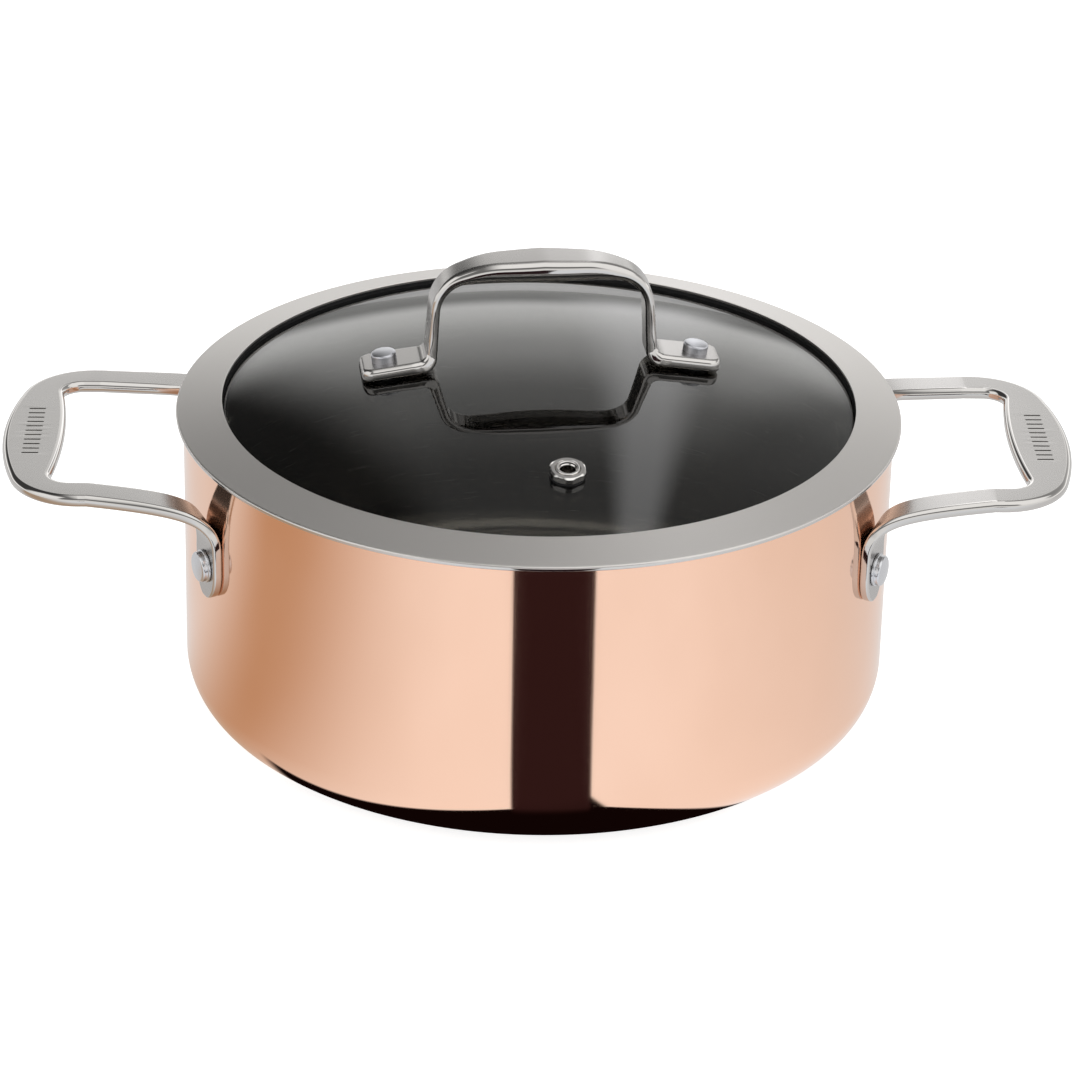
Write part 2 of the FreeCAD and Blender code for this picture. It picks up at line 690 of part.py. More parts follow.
def vent_gasket_bottom():
    """Soft washer under the glass with a sleeve up through the hole."""
    washer = ring_washer(VENT_WASHER_R, VENT_TUBE_R, -GLASS_T - VENT_WASHER_T, -GLASS_T)
    sleeve = ring_washer(VENT_TUBE_R + SLEEVE_T, VENT_TUBE_R, -GLASS_T, 0)
    return washer.fuse(sleeve).removeSplitter()


def against_glass(shape):
    """Trim a washer to the curved glass so the two don't overlap."""
    return shape.cut(glass())


def main():
    holes = rivet_holes()
    save("copper_shell", cup(POT_OUTER_R, 0, COPPER_T, BASE_CORNER_R).cut(holes))
    save("aluminium_core", cup(POT_OUTER_R - COPPER_T, COPPER_T, ALUMINIUM_T,
                               BASE_CORNER_R - COPPER_T).cut(holes))
    clad = COPPER_T + ALUMINIUM_T
    save("steel_liner", cup(POT_OUTER_R - clad, clad, STEEL_T, BASE_CORNER_R - clad).cut(holes))
    handle = right_side_handle()
    save("right_side_handle", handle)
    save("left_side_handle", handle.mirror(ORIGIN, vec(1, 0, 0)))
    for name, polar in rivet_polars().items():
        save(f"{name}_rivet", pot_rivet(polar))

    save("lid_rim_band", in_place(rim_band()))
    save("lid_glass", in_place(glass()))
    save("lid_edge_gasket", in_place(edge_gasket()))
    save("lid_handle", in_place(lid_handle()))
    washer_top = -GLASS_T - FOOT_PAD_T
    for side, polar in FOOT_POLARS.items():
        pieces = {
            "lid_rivet": lid_rivet(),
            "foot_gasket": foot_gasket(),
            "under_gasket": ring_washer(FOOT_WASHER_R, LID_RIVET_SHANK_R, washer_top, -GLASS_T),
            "backing_washer": ring_washer(FOOT_WASHER_R, LID_RIVET_SHANK_R,
                                          washer_top - BACKING_T, washer_top),
        }
        for name, piece in pieces.items():
            save(f"{side}_{name}", in_place(against_glass(on_glass(piece, FOOT_RIVET_X, polar))))
    vent_pieces = {
        "vent_hollow_screw": hollow_screw(),
        "vent_nut": hex_nut(),
        "vent_gasket_top": ring_washer(VENT_WASHER_R, VENT_TUBE_R, 0, VENT_WASHER_T),
        "vent_gasket_bottom": vent_gasket_bottom(),
    }
    for name, piece in vent_pieces.items():
        save(name, in_place(against_glass(on_glass(piece, VENT_R, VENT_POLAR))))


main()
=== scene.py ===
import math

import bmesh
import bpy
import numpy as np
from mathutils import Matrix, Vector

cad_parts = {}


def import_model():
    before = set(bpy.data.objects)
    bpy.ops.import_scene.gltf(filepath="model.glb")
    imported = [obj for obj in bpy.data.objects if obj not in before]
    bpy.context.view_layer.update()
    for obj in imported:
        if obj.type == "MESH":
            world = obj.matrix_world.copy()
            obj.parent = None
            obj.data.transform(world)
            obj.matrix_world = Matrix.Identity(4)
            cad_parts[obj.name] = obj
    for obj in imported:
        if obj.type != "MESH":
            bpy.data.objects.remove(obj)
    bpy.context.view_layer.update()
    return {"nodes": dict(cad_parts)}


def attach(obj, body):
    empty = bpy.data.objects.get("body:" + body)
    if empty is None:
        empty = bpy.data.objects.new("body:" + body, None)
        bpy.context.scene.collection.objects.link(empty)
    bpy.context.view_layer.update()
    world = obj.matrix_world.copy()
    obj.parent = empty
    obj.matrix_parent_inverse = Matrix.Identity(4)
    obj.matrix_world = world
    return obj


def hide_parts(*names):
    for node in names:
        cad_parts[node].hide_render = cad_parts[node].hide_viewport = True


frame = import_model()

MM = 0.001

# --- Sizes in millimetres, as in the CAD source.  GRIP_EDGE_R and TAB_EDGE_R are a ---
# --- little larger here, for softer edges. ------------------------------------------
POT_OUTER_R = 122.5
COPPER_T = 0.5
ALUMINIUM_T = 1.5
STEEL_T = 0.5
RIM_Z = 105.6
BASE_CORNER_R = 17.5
LID_Z = 107.6
LID_TURN = 5.2
BAND_OUTER_R = 125.0
BAND_INNER_R = 109.2
BAND_RISE = 3.45
BAND_SHEET = 0.8
HEM_DEPTH = 1.7
HEM_HOLLOW = 1.25
HEM_GAP = 0.3
SEAT_CORNER_R = 0.6
SKIRT_OUTER_R = 118.9
SKIRT_BOTTOM = -8.0
SKIRT_CORNER_R = 0.8
LIP_INNER_R = 114.5
GASKET_SETBACK = 0.4
GLASS_APEX = 17.8
GLASS_SPHERE_R = 366.0
GLASS_T = 4.0
GLASS_EDGE_R = 117.0
STRAP_INNER_HALF = 36.2
STRAP_LEG_T = 3.7
STRAP_TOP_Z = 56.3
STRAP_GRIP_T = 7.9
STRAP_GRIP_W = 16.6
STRAP_LEG_W = 12.6
STRAP_CROWN = (21.5, 1.0, 40.0)
STRAP_SHOULDER = (37.6, 8.0, 16.0)
STRAP_INNER_SHOULDER = (1.5, 0.6, 10.5)
HEEL_R = 4.5
INSTEP_R = 3.0
FOOT_W = 16.5
FOOT_T = 4.2
FOOT_END_X = 62.0
FOOT_RIVET_X = 53.0
FOOT_PAD_T = 0.8
BACKING_T = 1.0
SLEEVE_T = 0.8
FOOT_CORNER_R = 4.0
LID_RIVET_HEAD_R = 4.3
LID_RIVET_HEAD_H = 3.3
LID_RIVET_SHANK_R = 2.4
LID_RIVET_TAIL_R = 3.8
LID_RIVET_TAIL_H = 1.5
VENT_R = 76.9
VENT_POLAR = -90.0
VENT_HOLE_R = 2.9
VENT_TUBE_R = 4.0
VENT_TUBE_PROUD = 0.3
VENT_FLANGE_T = 1.3
VENT_NUT_ACROSS_FLATS = 11.6
VENT_NUT_CORNER_R = 6.2
VENT_NUT_FACE_R = 5.5
VENT_NUT_CHAMFER = 0.45
VENT_NUT_H = 2.6
VENT_WASHER_R = 5.9
VENT_WASHER_T = 0.6
GRIP_OUTER_X = 184.7
GRIP_INNER_X = 163.6
GRIP_OUTER_ARC_R = 126.0
GRIP_INNER_ARC_R = 228.0
GRIP_HALF_WIDTH = 52.6
ARM_INNER_Y = 39.8
ARM_START_X = 153.0
ARM_REACH = (-33.0, 2.3, -2.6)
ARM_DROP = 13.0
GRIP_TOP_Z = 96.6
GRIP_T = 4.4
GRIP_OUTER_CORNER_R = 25.0
GRIP_INNER_CORNER_R = 6.5
GRIP_EDGE_R = 2.1
TAB_T = 3.3
TAB_HALF_WIDTH = 7.5
TAB_TIP_BELOW_RIVET = 11.8
TAB_TOP_ABOVE_RIVET = 7.0
TAB_EDGE_R = 0.9
RIVET_POLAR = 25.4
RIVET_Z = 71.9
RIVET_HEAD_R = 5.25
RIVET_FLANGE_R = 5.7
RIVET_HEAD_H = 3.1
RIVET_SHANK_R = 2.5
RIVET_INNER_HEAD_R = 6.0
RIVET_INNER_HEAD_H = 2.2
GROOVE_COUNT = 11
GROOVE_PITCH = 3.6
GROOVE_L = 6.0
GROOVE_W = 1.0
GROOVE_DEPTH = 0.35


# --- Small geometry helpers ---------------------------------------------------------
def unit(vector):
    vector = np.asarray(vector, float)
    return vector / np.linalg.norm(vector)


def arc_at(before, corner, after, radius, steps):
    """Points of the arc that rounds one corner of a 2-D outline."""
    corner = np.asarray(corner, float)
    back = unit(np.asarray(before, float) - corner)
    ahead = unit(np.asarray(after, float) - corner)
    half = math.acos(float(np.clip(back @ ahead, -1, 1))) / 2
    trim = radius / math.tan(half)
    centre = corner + unit(back + ahead) * radius / math.sin(half)
    start = corner + back * trim - centre
    end = corner + ahead * trim - centre
    first = math.atan2(start[1], start[0])
    turn = (math.atan2(end[1], end[0]) - first + math.pi) % (2 * math.pi) - math.pi
    angles = [first + turn * k / steps for k in range(steps + 1)]
    return [centre + radius * np.array((math.cos(a), math.sin(a))) for a in angles]


def rounded(corners, steps=6):
    """Closed 2-D outline through corners (x, y, radius), each rounded to its radius."""
    points = []
    count = len(corners)
    for i, (x, y, radius) in enumerate(corners):
        if radius <= 0:
            points.append(np.array((x, y), float))
            continue
        before = corners[i - 1][:2]
        after = corners[(i + 1) % count][:2]
        points += arc_at(before, (x, y), after, radius, steps)
    return points


def densify(points, longest, closed):
    """The same outline with no run longer than a given length."""
    result = []
    count = len(points)
    for i in range(count if closed else count - 1):
        a = np.asarray(points[i], float)
        b = np.asarray(points[(i + 1) % count], float)
        parts = max(1, math.ceil(np.linalg.norm(b - a) / longest))
        result += [a + (b - a) * k / parts for k in range(parts)]
    if not closed:
        result.append(np.asarray(points[-1], float))
    return result


def resample(points, count):
    """count + 1 points evenly spaced along a polyline."""
    points = np.asarray(points, float)
    run = np.concatenate([[0], np.cumsum(np.linalg.norm(np.diff(points, axis=0), axis=1))])
    wanted = np.linspace(0, run[-1], count + 1)
    return np.stack([np.interp(wanted, run, points[:, k]) for k in range(points.shape[1])], 1)


def ease(t):
    t = min(1.0, max(0.0, t))
    return t * t * (3 - 2 * t)


def rounding(radius, left):
    """How far a rounded end falls short of a square one, at a distance from the end."""
    return radius - math.sqrt(max(radius**2 - (radius - left)**2, 0.0))


# --- Mesh pieces --------------------------------------------------------------------
def make_piece(name, points, faces, materials, body, node, slot, face_materials=None, sharp=38):
    """Mesh object at the frame's origin that rides on a body and stands for a CAD node."""
    mesh = bpy.data.meshes.new(name)
    mesh.from_pydata([tuple(float(c) * MM for c in p) for p in points], [], faces)
    for material in materials:
        mesh.materials.append(material)
    if face_materials is not None:
        mesh.polygons.foreach_set("material_index", face_materials)
    work = bmesh.new()
    work.from_mesh(mesh)
    bmesh.ops.recalc_face_normals(work, faces=work.faces)
    work.to_mesh(mesh)
    work.free()
    mesh.polygons.foreach_set("use_smooth", [True] * len(mesh.polygons))
    mesh.set_sharp_from_angle(angle=math.radians(sharp))
    piece = bpy.data.objects.new(name, mesh)
    bpy.context.scene.collection.objects.link(piece)
    weighted = piece.modifiers.new("even_normals", "WEIGHTED_NORMAL")
    weighted.keep_sharp = True
    weighted.weight = 100
    if body:
        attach(piece, body)
        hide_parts(node)
    return piece


def revolved(outline, segments, closed):
    """Points and faces of a surface of revolution about Z from (r, z) points."""
    points, rings = [], []
    for r, z in outline:
        if r < 1e-6:
            rings.append([len(points)])
            points.append((0.0, 0.0, z))
            continue
        start = len(points)
        for k in range(segments):
            angle = 2 * math.pi * k / segments
            points.append((r * math.cos(angle), r * math.sin(angle), z))
        rings.append(list(range(start, start + segments)))
    faces = []
    pairs = list(zip(rings, rings[1:])) + ([(rings[-1], rings[0])] if closed else [])
    for a, b in pairs:
        for k in range(segments):
            n = (k + 1) % segments
            if len(a) == 1 and len(b) == 1:
                break
            if len(a) == 1:
                faces.append((a[0], b[n], b[k]))
            elif len(b) == 1:
                faces.append((a[k], a[n], b[0]))
            else:
                faces.append((a[k], a[n], b[n], b[k]))
    return np.array(points), faces


def lathe(name, outline, material, body, node, slot, place=None, segments=256, longest=15.0,
          closed=True, sharp=38):
    outline = densify(outline, longest, closed)
    points, faces = revolved(outline, segments, closed)
    if place is not None:
        points = moved(points, place)
    return make_piece(name, points, faces, [material], body, node, slot, sharp=sharp)


def moved(points, matrix):
    return np.array([tuple(matrix @ Vector(tuple(p))) for p in points])


def ribbed(ribs, corner_steps):
    """Points, faces and face sides of a bar whose sections are rounded rectangles.

    A rib is (centre, u, v, half_u, half_v, radius at +u, radius at -u, bend): u and v are unit
    vectors in the section's plane.  bend maps offsets (a, b) to a point, or is None.
    A face's side is 0 on the +v or -v flats and 1 elsewhere.
    """
    points, faces, sides = [], [], []
    loops = []
    for centre, u, v, half_u, half_v, r_plus, r_minus, bend in ribs:
        loop = []
        start = len(points)
        for su, sv, first in ((1, 1, 0), (-1, 1, 90), (-1, -1, 180), (1, -1, 270)):
            radius = min(r_plus if su > 0 else r_minus, 0.98 * half_u, 0.98 * half_v)
            for k in range(corner_steps + 1):
                angle = math.radians(first + 90 * k / corner_steps)
                a = su * (half_u - radius) + radius * math.cos(angle)
                b = sv * (half_v - radius) + radius * math.sin(angle)
                loop.append((a, b))
        for a, b in loop:
            points.append(bend(a, b) if bend else centre + u * a + v * b)
        loops.append(list(range(start, len(points))))
    count = len(loops[0])
    flat_edges = {corner_steps, 3 * (corner_steps + 1) - 1}
    for one, two in zip(loops, loops[1:]):
        for k in range(count):
            n = (k + 1) % count
            faces.append((one[k], one[n], two[n], two[k]))
            sides.append(0 if k in flat_edges else 1)
    for loop, order in ((loops[0], -1), (loops[-1], 1)):
        faces.append(tuple(loop[::order]))
        sides.append(1)
    return np.array(points), faces, sides


# --- Node helpers -------------------------------------------------------------------
def put(tree, kind, inputs=None, **settings):
    """A node with its settings, and its inputs given as values or as sockets to link."""
    made = tree.nodes.new(kind)
    for key, value in settings.items():
        setattr(made, key, value)
    for key, value in (inputs or {}).items():
        if isinstance(value, bpy.types.NodeSocket):
            tree.links.new(value, made.inputs[key])
        else:
            made.inputs[key].default_value = value
    return made


def calc(tree, operation, a, b=0.0, c=0.0):
    return put(tree, "ShaderNodeMath", {0: a, 1: b, 2: c}, operation=operation).outputs[0]


def step_between(tree, value, low, high, start=0.0, end=1.0):
    """Smooth ramp of a value from low to high."""
    return put(tree, "ShaderNodeMapRange",
               {"Value": value, "From Min": low, "From Max": high, "To Min": start, "To Max": end},
               interpolation_type="SMOOTHSTEP").outputs["Result"]


def blend(tree, factor, a, b):
    made = put(tree, "ShaderNodeMix", {0: factor}, data_type="RGBA", blend_type="MIX")
    for socket, value in ((made.inputs[6], a), (made.inputs[7], b)):
        if isinstance(value, bpy.types.NodeSocket):
            tree.links.new(value, socket)
        else:
            socket.default_value = value
    return made.outputs[2]


def noise(tree, vector, scale, detail=2.0, roughness=0.5):
    return put(tree, "ShaderNodeTexNoise", {"Vector": vector, "Scale": scale, "Detail": detail,
                                            "Roughness": roughness}).outputs["Fac"]


def rgb(red, green, blue):
    return (red, green, blue, 1.0)


class Surface:
    """A material under construction: its node tree, its shader and its coordinates."""

    def __init__(self, name, **shader):
        self.material = bpy.data.materials.new(name)
        self.material.use_nodes = True
        self.tree = self.material.node_tree
        self.shader = self.tree.nodes["Principled BSDF"]
        for key, value in shader.items():
            self.shader.inputs[key.replace("_", " ")].default_value = value
        self.place = put(self.tree, "ShaderNodeTexCoord").outputs["Object"]

    def scaled(self, x, y, z):
        """Object coordinates stretched along each axis."""
        return put(self.tree, "ShaderNodeVectorMath",
                   {0: self.place, 1: (x, y, z)}, operation="MULTIPLY").outputs[0]

    def turned(self, round_scale, r_scale, z_scale):
        """Coordinates for grain on a turned piece: around Z, outward and along Z."""
        flat = put(self.tree, "ShaderNodeVectorMath", {0: self.place, 1: (1, 1, 0)},
                   operation="MULTIPLY").outputs[0]
        radius = put(self.tree, "ShaderNodeVectorMath", {0: flat}, operation="LENGTH").outputs["Value"]
        direction = put(self.tree, "ShaderNodeVectorMath", {0: flat}, operation="NORMALIZE").outputs[0]
        around = put(self.tree, "ShaderNodeVectorMath",
                     {0: direction, 1: (round_scale, round_scale, 0)}, operation="MULTIPLY").outputs[0]
        height = put(self.tree, "ShaderNodeSeparateXYZ", {0: self.place}).outputs["Z"]
        both = calc(self.tree, "MULTIPLY_ADD", radius, r_scale,
                    calc(self.tree, "MULTIPLY", height, z_scale))
        lift = put(self.tree, "ShaderNodeCombineXYZ", {"Z": both}).outputs[0]
        return put(self.tree, "ShaderNodeVectorMath", {0: around, 1: lift}, operation="ADD").outputs[0]

    def colour(self, factor, a, b):
        self.tree.links.new(blend(self.tree, factor, a, b), self.shader.inputs["Base Color"])

    def roughness(self, factor, low, high):
        value = put(self.tree, "ShaderNodeMapRange",
                    {"Value": factor, "To Min": low, "To Max": high}).outputs["Result"]
        self.tree.links.new(value, self.shader.inputs["Roughness"])

    def bump(self, *layers):
        """Bump from layers of (height, strength, distance in mm)."""
        normal = None
        for height, strength, distance in layers:
            made = put(self.tree, "ShaderNodeBump", {"Height": height, "Strength": strength,
                                                     "Distance": distance * MM})
            if normal is not None:
                self.tree.links.new(normal, made.inputs["Normal"])
            normal = made.outputs["Normal"]
        self.tree.links.new(normal, self.shader.inputs["Normal"])


# --- Materials ----------------------------------------------------------------------
def copper():
    s = Surface("polished_copper", Metallic=1.0, Roughness=0.06)
    grain = noise(s.tree, s.turned(300, 0, 14), 1.0, 3.0, 0.6)
    patches = noise(s.tree, s.scaled(14, 14, 9), 1.0, 3.0)
    wave = noise(s.tree, s.turned(7, 0, 28), 1.0, 1.0)
    s.colour(patches, rgb(0.90, 0.56, 0.40), rgb(0.96, 0.64, 0.49))
    s.roughness(grain, 0.035, 0.11)
    s.bump((wave, 0.25, 0.06), (grain, 0.05, 0.02))
    return s.material


def steel(name, roughness_low, roughness_high, tint=(0.62, 0.60, 0.585), grain_bump=0.04):
    """Fine all-over polished or satin stainless steel."""
    s = Surface(name, Metallic=1.0)
    grain = noise(s.tree, s.scaled(1, 1, 1), 900.0, 3.0, 0.6)
    cloud = noise(s.tree, s.scaled(1, 1, 1), 45.0, 3.0)
    dark = tuple(c * 0.93 for c in tint)
    s.colour(cloud, rgb(*dark), rgb(*tint))
    s.roughness(blend(s.tree, 0.5, grain, cloud), roughness_low, roughness_high)
    s.bump((grain, grain_bump, 0.02))
    return s.material


def ring_brushed(name, tint, roughness_low, roughness_high, anisotropy, grain_bump, r_scale=5200):
    """Stainless steel brushed round the Z axis."""
    s = Surface(name, Metallic=1.0, Anisotropic=anisotropy)
    tangent = put(s.tree, "ShaderNodeTangent", direction_type="RADIAL", axis="Z")
    s.tree.links.new(tangent.outputs[0], s.shader.inputs["Tangent"])
    lines = noise(s.tree, s.turned(9, r_scale, r_scale), 1.0, 3.0, 0.65)
    cloud = noise(s.tree, s.turned(2.5, 60, 60), 1.0, 2.0)
    dark = tuple(c * 0.94 for c in tint)
    s.colour(blend(s.tree, 0.35, cloud, lines), rgb(*dark), rgb(*tint))
    s.roughness(lines, roughness_low, roughness_high)
    s.bump((lines, grain_bump, 0.02))
    return s.material


def tinted_glass():
    s = Surface("tinted_glass", IOR=1.5)
    s.shader.inputs["Transmission Weight"].default_value = 1.0
    cloud = noise(s.tree, s.scaled(1, 1, 1), 12.0, 2.0)
    s.colour(cloud, rgb(0.170, 0.165, 0.152), rgb(0.195, 0.190, 0.176))
    s.roughness(noise(s.tree, s.scaled(1, 1, 1), 60.0, 2.0), 0.0, 0.006)
    s.bump((noise(s.tree, s.scaled(1, 1, 1), 22.0, 1.0), 0.02, 0.05))
    return s.material


def silicone():
    s = Surface("black_silicone")
    grain = noise(s.tree, s.scaled(1, 1, 1), 1800.0, 2.0)
    s.colour(noise(s.tree, s.scaled(1, 1, 1), 120.0), rgb(0.012, 0.012, 0.013), rgb(0.02, 0.02, 0.021))
    s.roughness(grain, 0.42, 0.62)
    s.bump((grain, 0.15, 0.03))
    return s.material


# Painted shade: a near-black material for the grooves' faces, standing in for the shade inside them.
def groove_shade_material():
    s = Surface("painted_groove_shade", Metallic=0.6)
    grain = noise(s.tree, s.scaled(1, 1, 1), 2500.0, 3.0)
    s.colour(grain, rgb(0.03, 0.026, 0.022), rgb(0.09, 0.08, 0.07))
    s.roughness(grain, 0.5, 0.75)
    s.bump((grain, 0.3, 0.03))
    return s.material


COPPER = copper()
ALUMINIUM = ring_brushed("core_aluminium", (0.80, 0.80, 0.81), 0.28, 0.42, 0.3, 0.06)
LINER = ring_brushed("brushed_liner", (0.62, 0.60, 0.58), 0.18, 0.32, 0.5, 0.06, 2600)
BAND = ring_brushed("brushed_band", (0.68, 0.655, 0.635), 0.34, 0.39, 0.35, 0.006, 9000)
SATIN = steel("satin_steel", 0.2, 0.33, tint=(0.50, 0.485, 0.475))
# Painted shade: a darker copy of the satin steel for the lid handle.
SATIN_LID_SHADED = steel("satin_steel_painted_shade", 0.2, 0.32, tint=(0.44, 0.425, 0.415))
POLISHED = steel("polished_steel", 0.03, 0.09, grain_bump=0.015)
RIVET = steel("rivet_steel", 0.17, 0.27, tint=(0.66, 0.665, 0.69))
LID_RIVET = steel("lid_rivet_steel", 0.30, 0.40, tint=(0.60, 0.605, 0.64))
NUT_STEEL = steel("nut_steel", 0.06, 0.12, tint=(0.76, 0.74, 0.72))
GLASS = tinted_glass()
SILICONE = silicone()
GROOVE = groove_shade_material()


# --- Pot ----------------------------------------------------------------------------
def cup_outline(outer_r, bottom_z, thickness, corner_r, edge_r):
    """Open cup from the axis out under the base, up the wall, over the rim and back inside."""
    inner_r = outer_r - thickness
    outline = [np.array((0.0, bottom_z))]
    outline += arc_at((0, bottom_z), (outer_r, bottom_z), (outer_r, RIM_Z), corner_r, 24)
    outline += arc_at((outer_r, 0), (outer_r, RIM_Z), (inner_r, RIM_Z), edge_r, 3)
    outline += arc_at((outer_r, RIM_Z), (inner_r, RIM_Z), (inner_r, 0), edge_r, 3)
    outline += arc_at((inner_r, RIM_Z), (inner_r, bottom_z + thickness),
                      (0, bottom_z + thickness), corner_r - thickness, 24)
    outline.append(np.array((0.0, bottom_z + thickness)))
    return outline


def pot_shells():
    clad = COPPER_T + ALUMINIUM_T
    layers = [
        ("copper_shell", 0, COPPER_T, COPPER, "polished_copper"),
        ("aluminium_core", COPPER_T, ALUMINIUM_T, ALUMINIUM, "core_aluminium"),
        ("steel_liner", clad, STEEL_T, LINER, "brushed_steel"),
    ]
    for node, depth, thickness, material, slot in layers:
        outline = cup_outline(POT_OUTER_R - depth, depth, thickness, BASE_CORNER_R - depth, 0.12)
        lathe(node + "_visual", outline, material, "pot", node, slot, segments=288, closed=False)


def pot_rivets():
    wall_inner = POT_OUTER_R - COPPER_T - ALUMINIUM_T - STEEL_T
    tab_face = POT_OUTER_R + TAB_T
    end = tab_face + RIVET_HEAD_H
    inner_end = wall_inner - RIVET_INNER_HEAD_H
    outline = [np.array((0.0, inner_end))]
    outline += arc_at((0, inner_end), (RIVET_INNER_HEAD_R, inner_end + 0.25),
                      (RIVET_INNER_HEAD_R, wall_inner), 1.4, 6)
    outline += [np.array((RIVET_INNER_HEAD_R, wall_inner)), np.array((RIVET_SHANK_R, wall_inner)),
                np.array((RIVET_SHANK_R, tab_face)), np.array((RIVET_FLANGE_R, tab_face))]
    outline += arc_at((RIVET_FLANGE_R, tab_face), (RIVET_FLANGE_R, tab_face + 0.75),
                      (RIVET_HEAD_R, tab_face + 0.8), 0.3, 4)
    outline += arc_at((RIVET_FLANGE_R, tab_face + 0.75), (RIVET_HEAD_R, tab_face + 0.8),
                      (RIVET_HEAD_R, end), 0.2, 3)
    outline += arc_at((RIVET_HEAD_R, tab_face), (RIVET_HEAD_R, end - 0.35), (0, end), 0.9, 8)
    outline += [np.array((2.6, end - 0.12)), np.array((1.2, end - 0.03)), np.array((0.0, end))]
    along_wall = Matrix.Rotation(math.radians(90), 4, "Y")
    polars = {"right_rear": RIVET_POLAR, "left_rear": 180 - RIVET_POLAR,
              "left_front": 180 + RIVET_POLAR, "right_front": -RIVET_POLAR}
    for side, polar in polars.items():
        place = (Matrix.Translation((0, 0, RIVET_Z)) @ Matrix.Rotation(math.radians(polar), 4, "Z")
                 @ along_wall)
        lathe(side + "_rivet_visual", outline, RIVET, "pot", side + "_rivet", "rivet_steel", place,
              segments=72, longest=2.0, closed=False, sharp=50)


# --- Side handles -------------------------------------------------------------------
def blend_corner(big_x, big_r, line_y, corner_r, side, steps):
    """Arc that blends a circle centred on the X axis into the line y = line_y."""
    rise = line_y - corner_r
    reach = big_r - side * corner_r
    centre = np.array((big_x + side * math.sqrt(reach**2 - rise**2), rise))
    on_circle = np.array((big_x, 0)) + unit(centre - (big_x, 0)) * big_r
    first = math.atan2(*(on_circle - centre)[::-1])
    turn = (math.pi / 2 - first + math.pi) % (2 * math.pi) - math.pi
    return [centre + corner_r * np.array((math.cos(first + turn * k / steps),
                                          math.sin(first + turn * k / steps)))
            for k in range(steps + 1)]


def circle_run(centre_x, radius, end, steps):
    """Points of a circle centred on the X axis, from its crossing of that axis to a point."""
    facing = 1 if end[0] > centre_x else -1
    last = math.asin(end[1] / radius)
    return [np.array((centre_x + facing * radius * math.cos(last * k / steps),
                      radius * math.sin(last * k / steps))) for k in range(steps + 1)]


def grip_ribs():
    """Ribs from the middle of the right grip round its rear corner to the rear arm."""
    outer_corner = blend_corner(GRIP_OUTER_X - GRIP_OUTER_ARC_R, GRIP_OUTER_ARC_R, GRIP_HALF_WIDTH,
                                GRIP_OUTER_CORNER_R, 1, 20)
    inner_corner = blend_corner(GRIP_INNER_X + GRIP_INNER_ARC_R, GRIP_INNER_ARC_R, ARM_INNER_Y,
                                GRIP_INNER_CORNER_R, -1, 20)
    outer = circle_run(GRIP_OUTER_X - GRIP_OUTER_ARC_R, GRIP_OUTER_ARC_R, outer_corner[0], 20)
    inner = circle_run(GRIP_INNER_X + GRIP_INNER_ARC_R, GRIP_INNER_ARC_R, inner_corner[0], 20)
    outer += outer_corner[1:]
    inner += inner_corner[1:]
    outer += list(np.linspace(outer[-1], (ARM_START_X, GRIP_HALF_WIDTH), 7)[1:])
    inner += list(np.linspace(inner[-1], (ARM_START_X, ARM_INNER_Y), 7)[1:])
    ribs = []
    for a, b in zip(outer, inner):
        across = np.append(unit(a - b), 0)
        centre = np.append((a + b) / 2, GRIP_TOP_Z - GRIP_T / 2)
        ribs.append([centre, across, np.array((0, 0, 1.0)), np.linalg.norm(a - b) / 2, GRIP_T / 2,
                     GRIP_EDGE_R, GRIP_EDGE_R, None])
    return ribs


def wall_bend(polar, radius, z):
    """Maps a section's offsets onto the pot's round wall: a runs round it, b into it."""
    def bend(a, b):
        angle = polar + a / POT_OUTER_R
        reach = radius - b
        return np.array((reach * math.cos(angle), reach * math.sin(angle), z))
    return bend


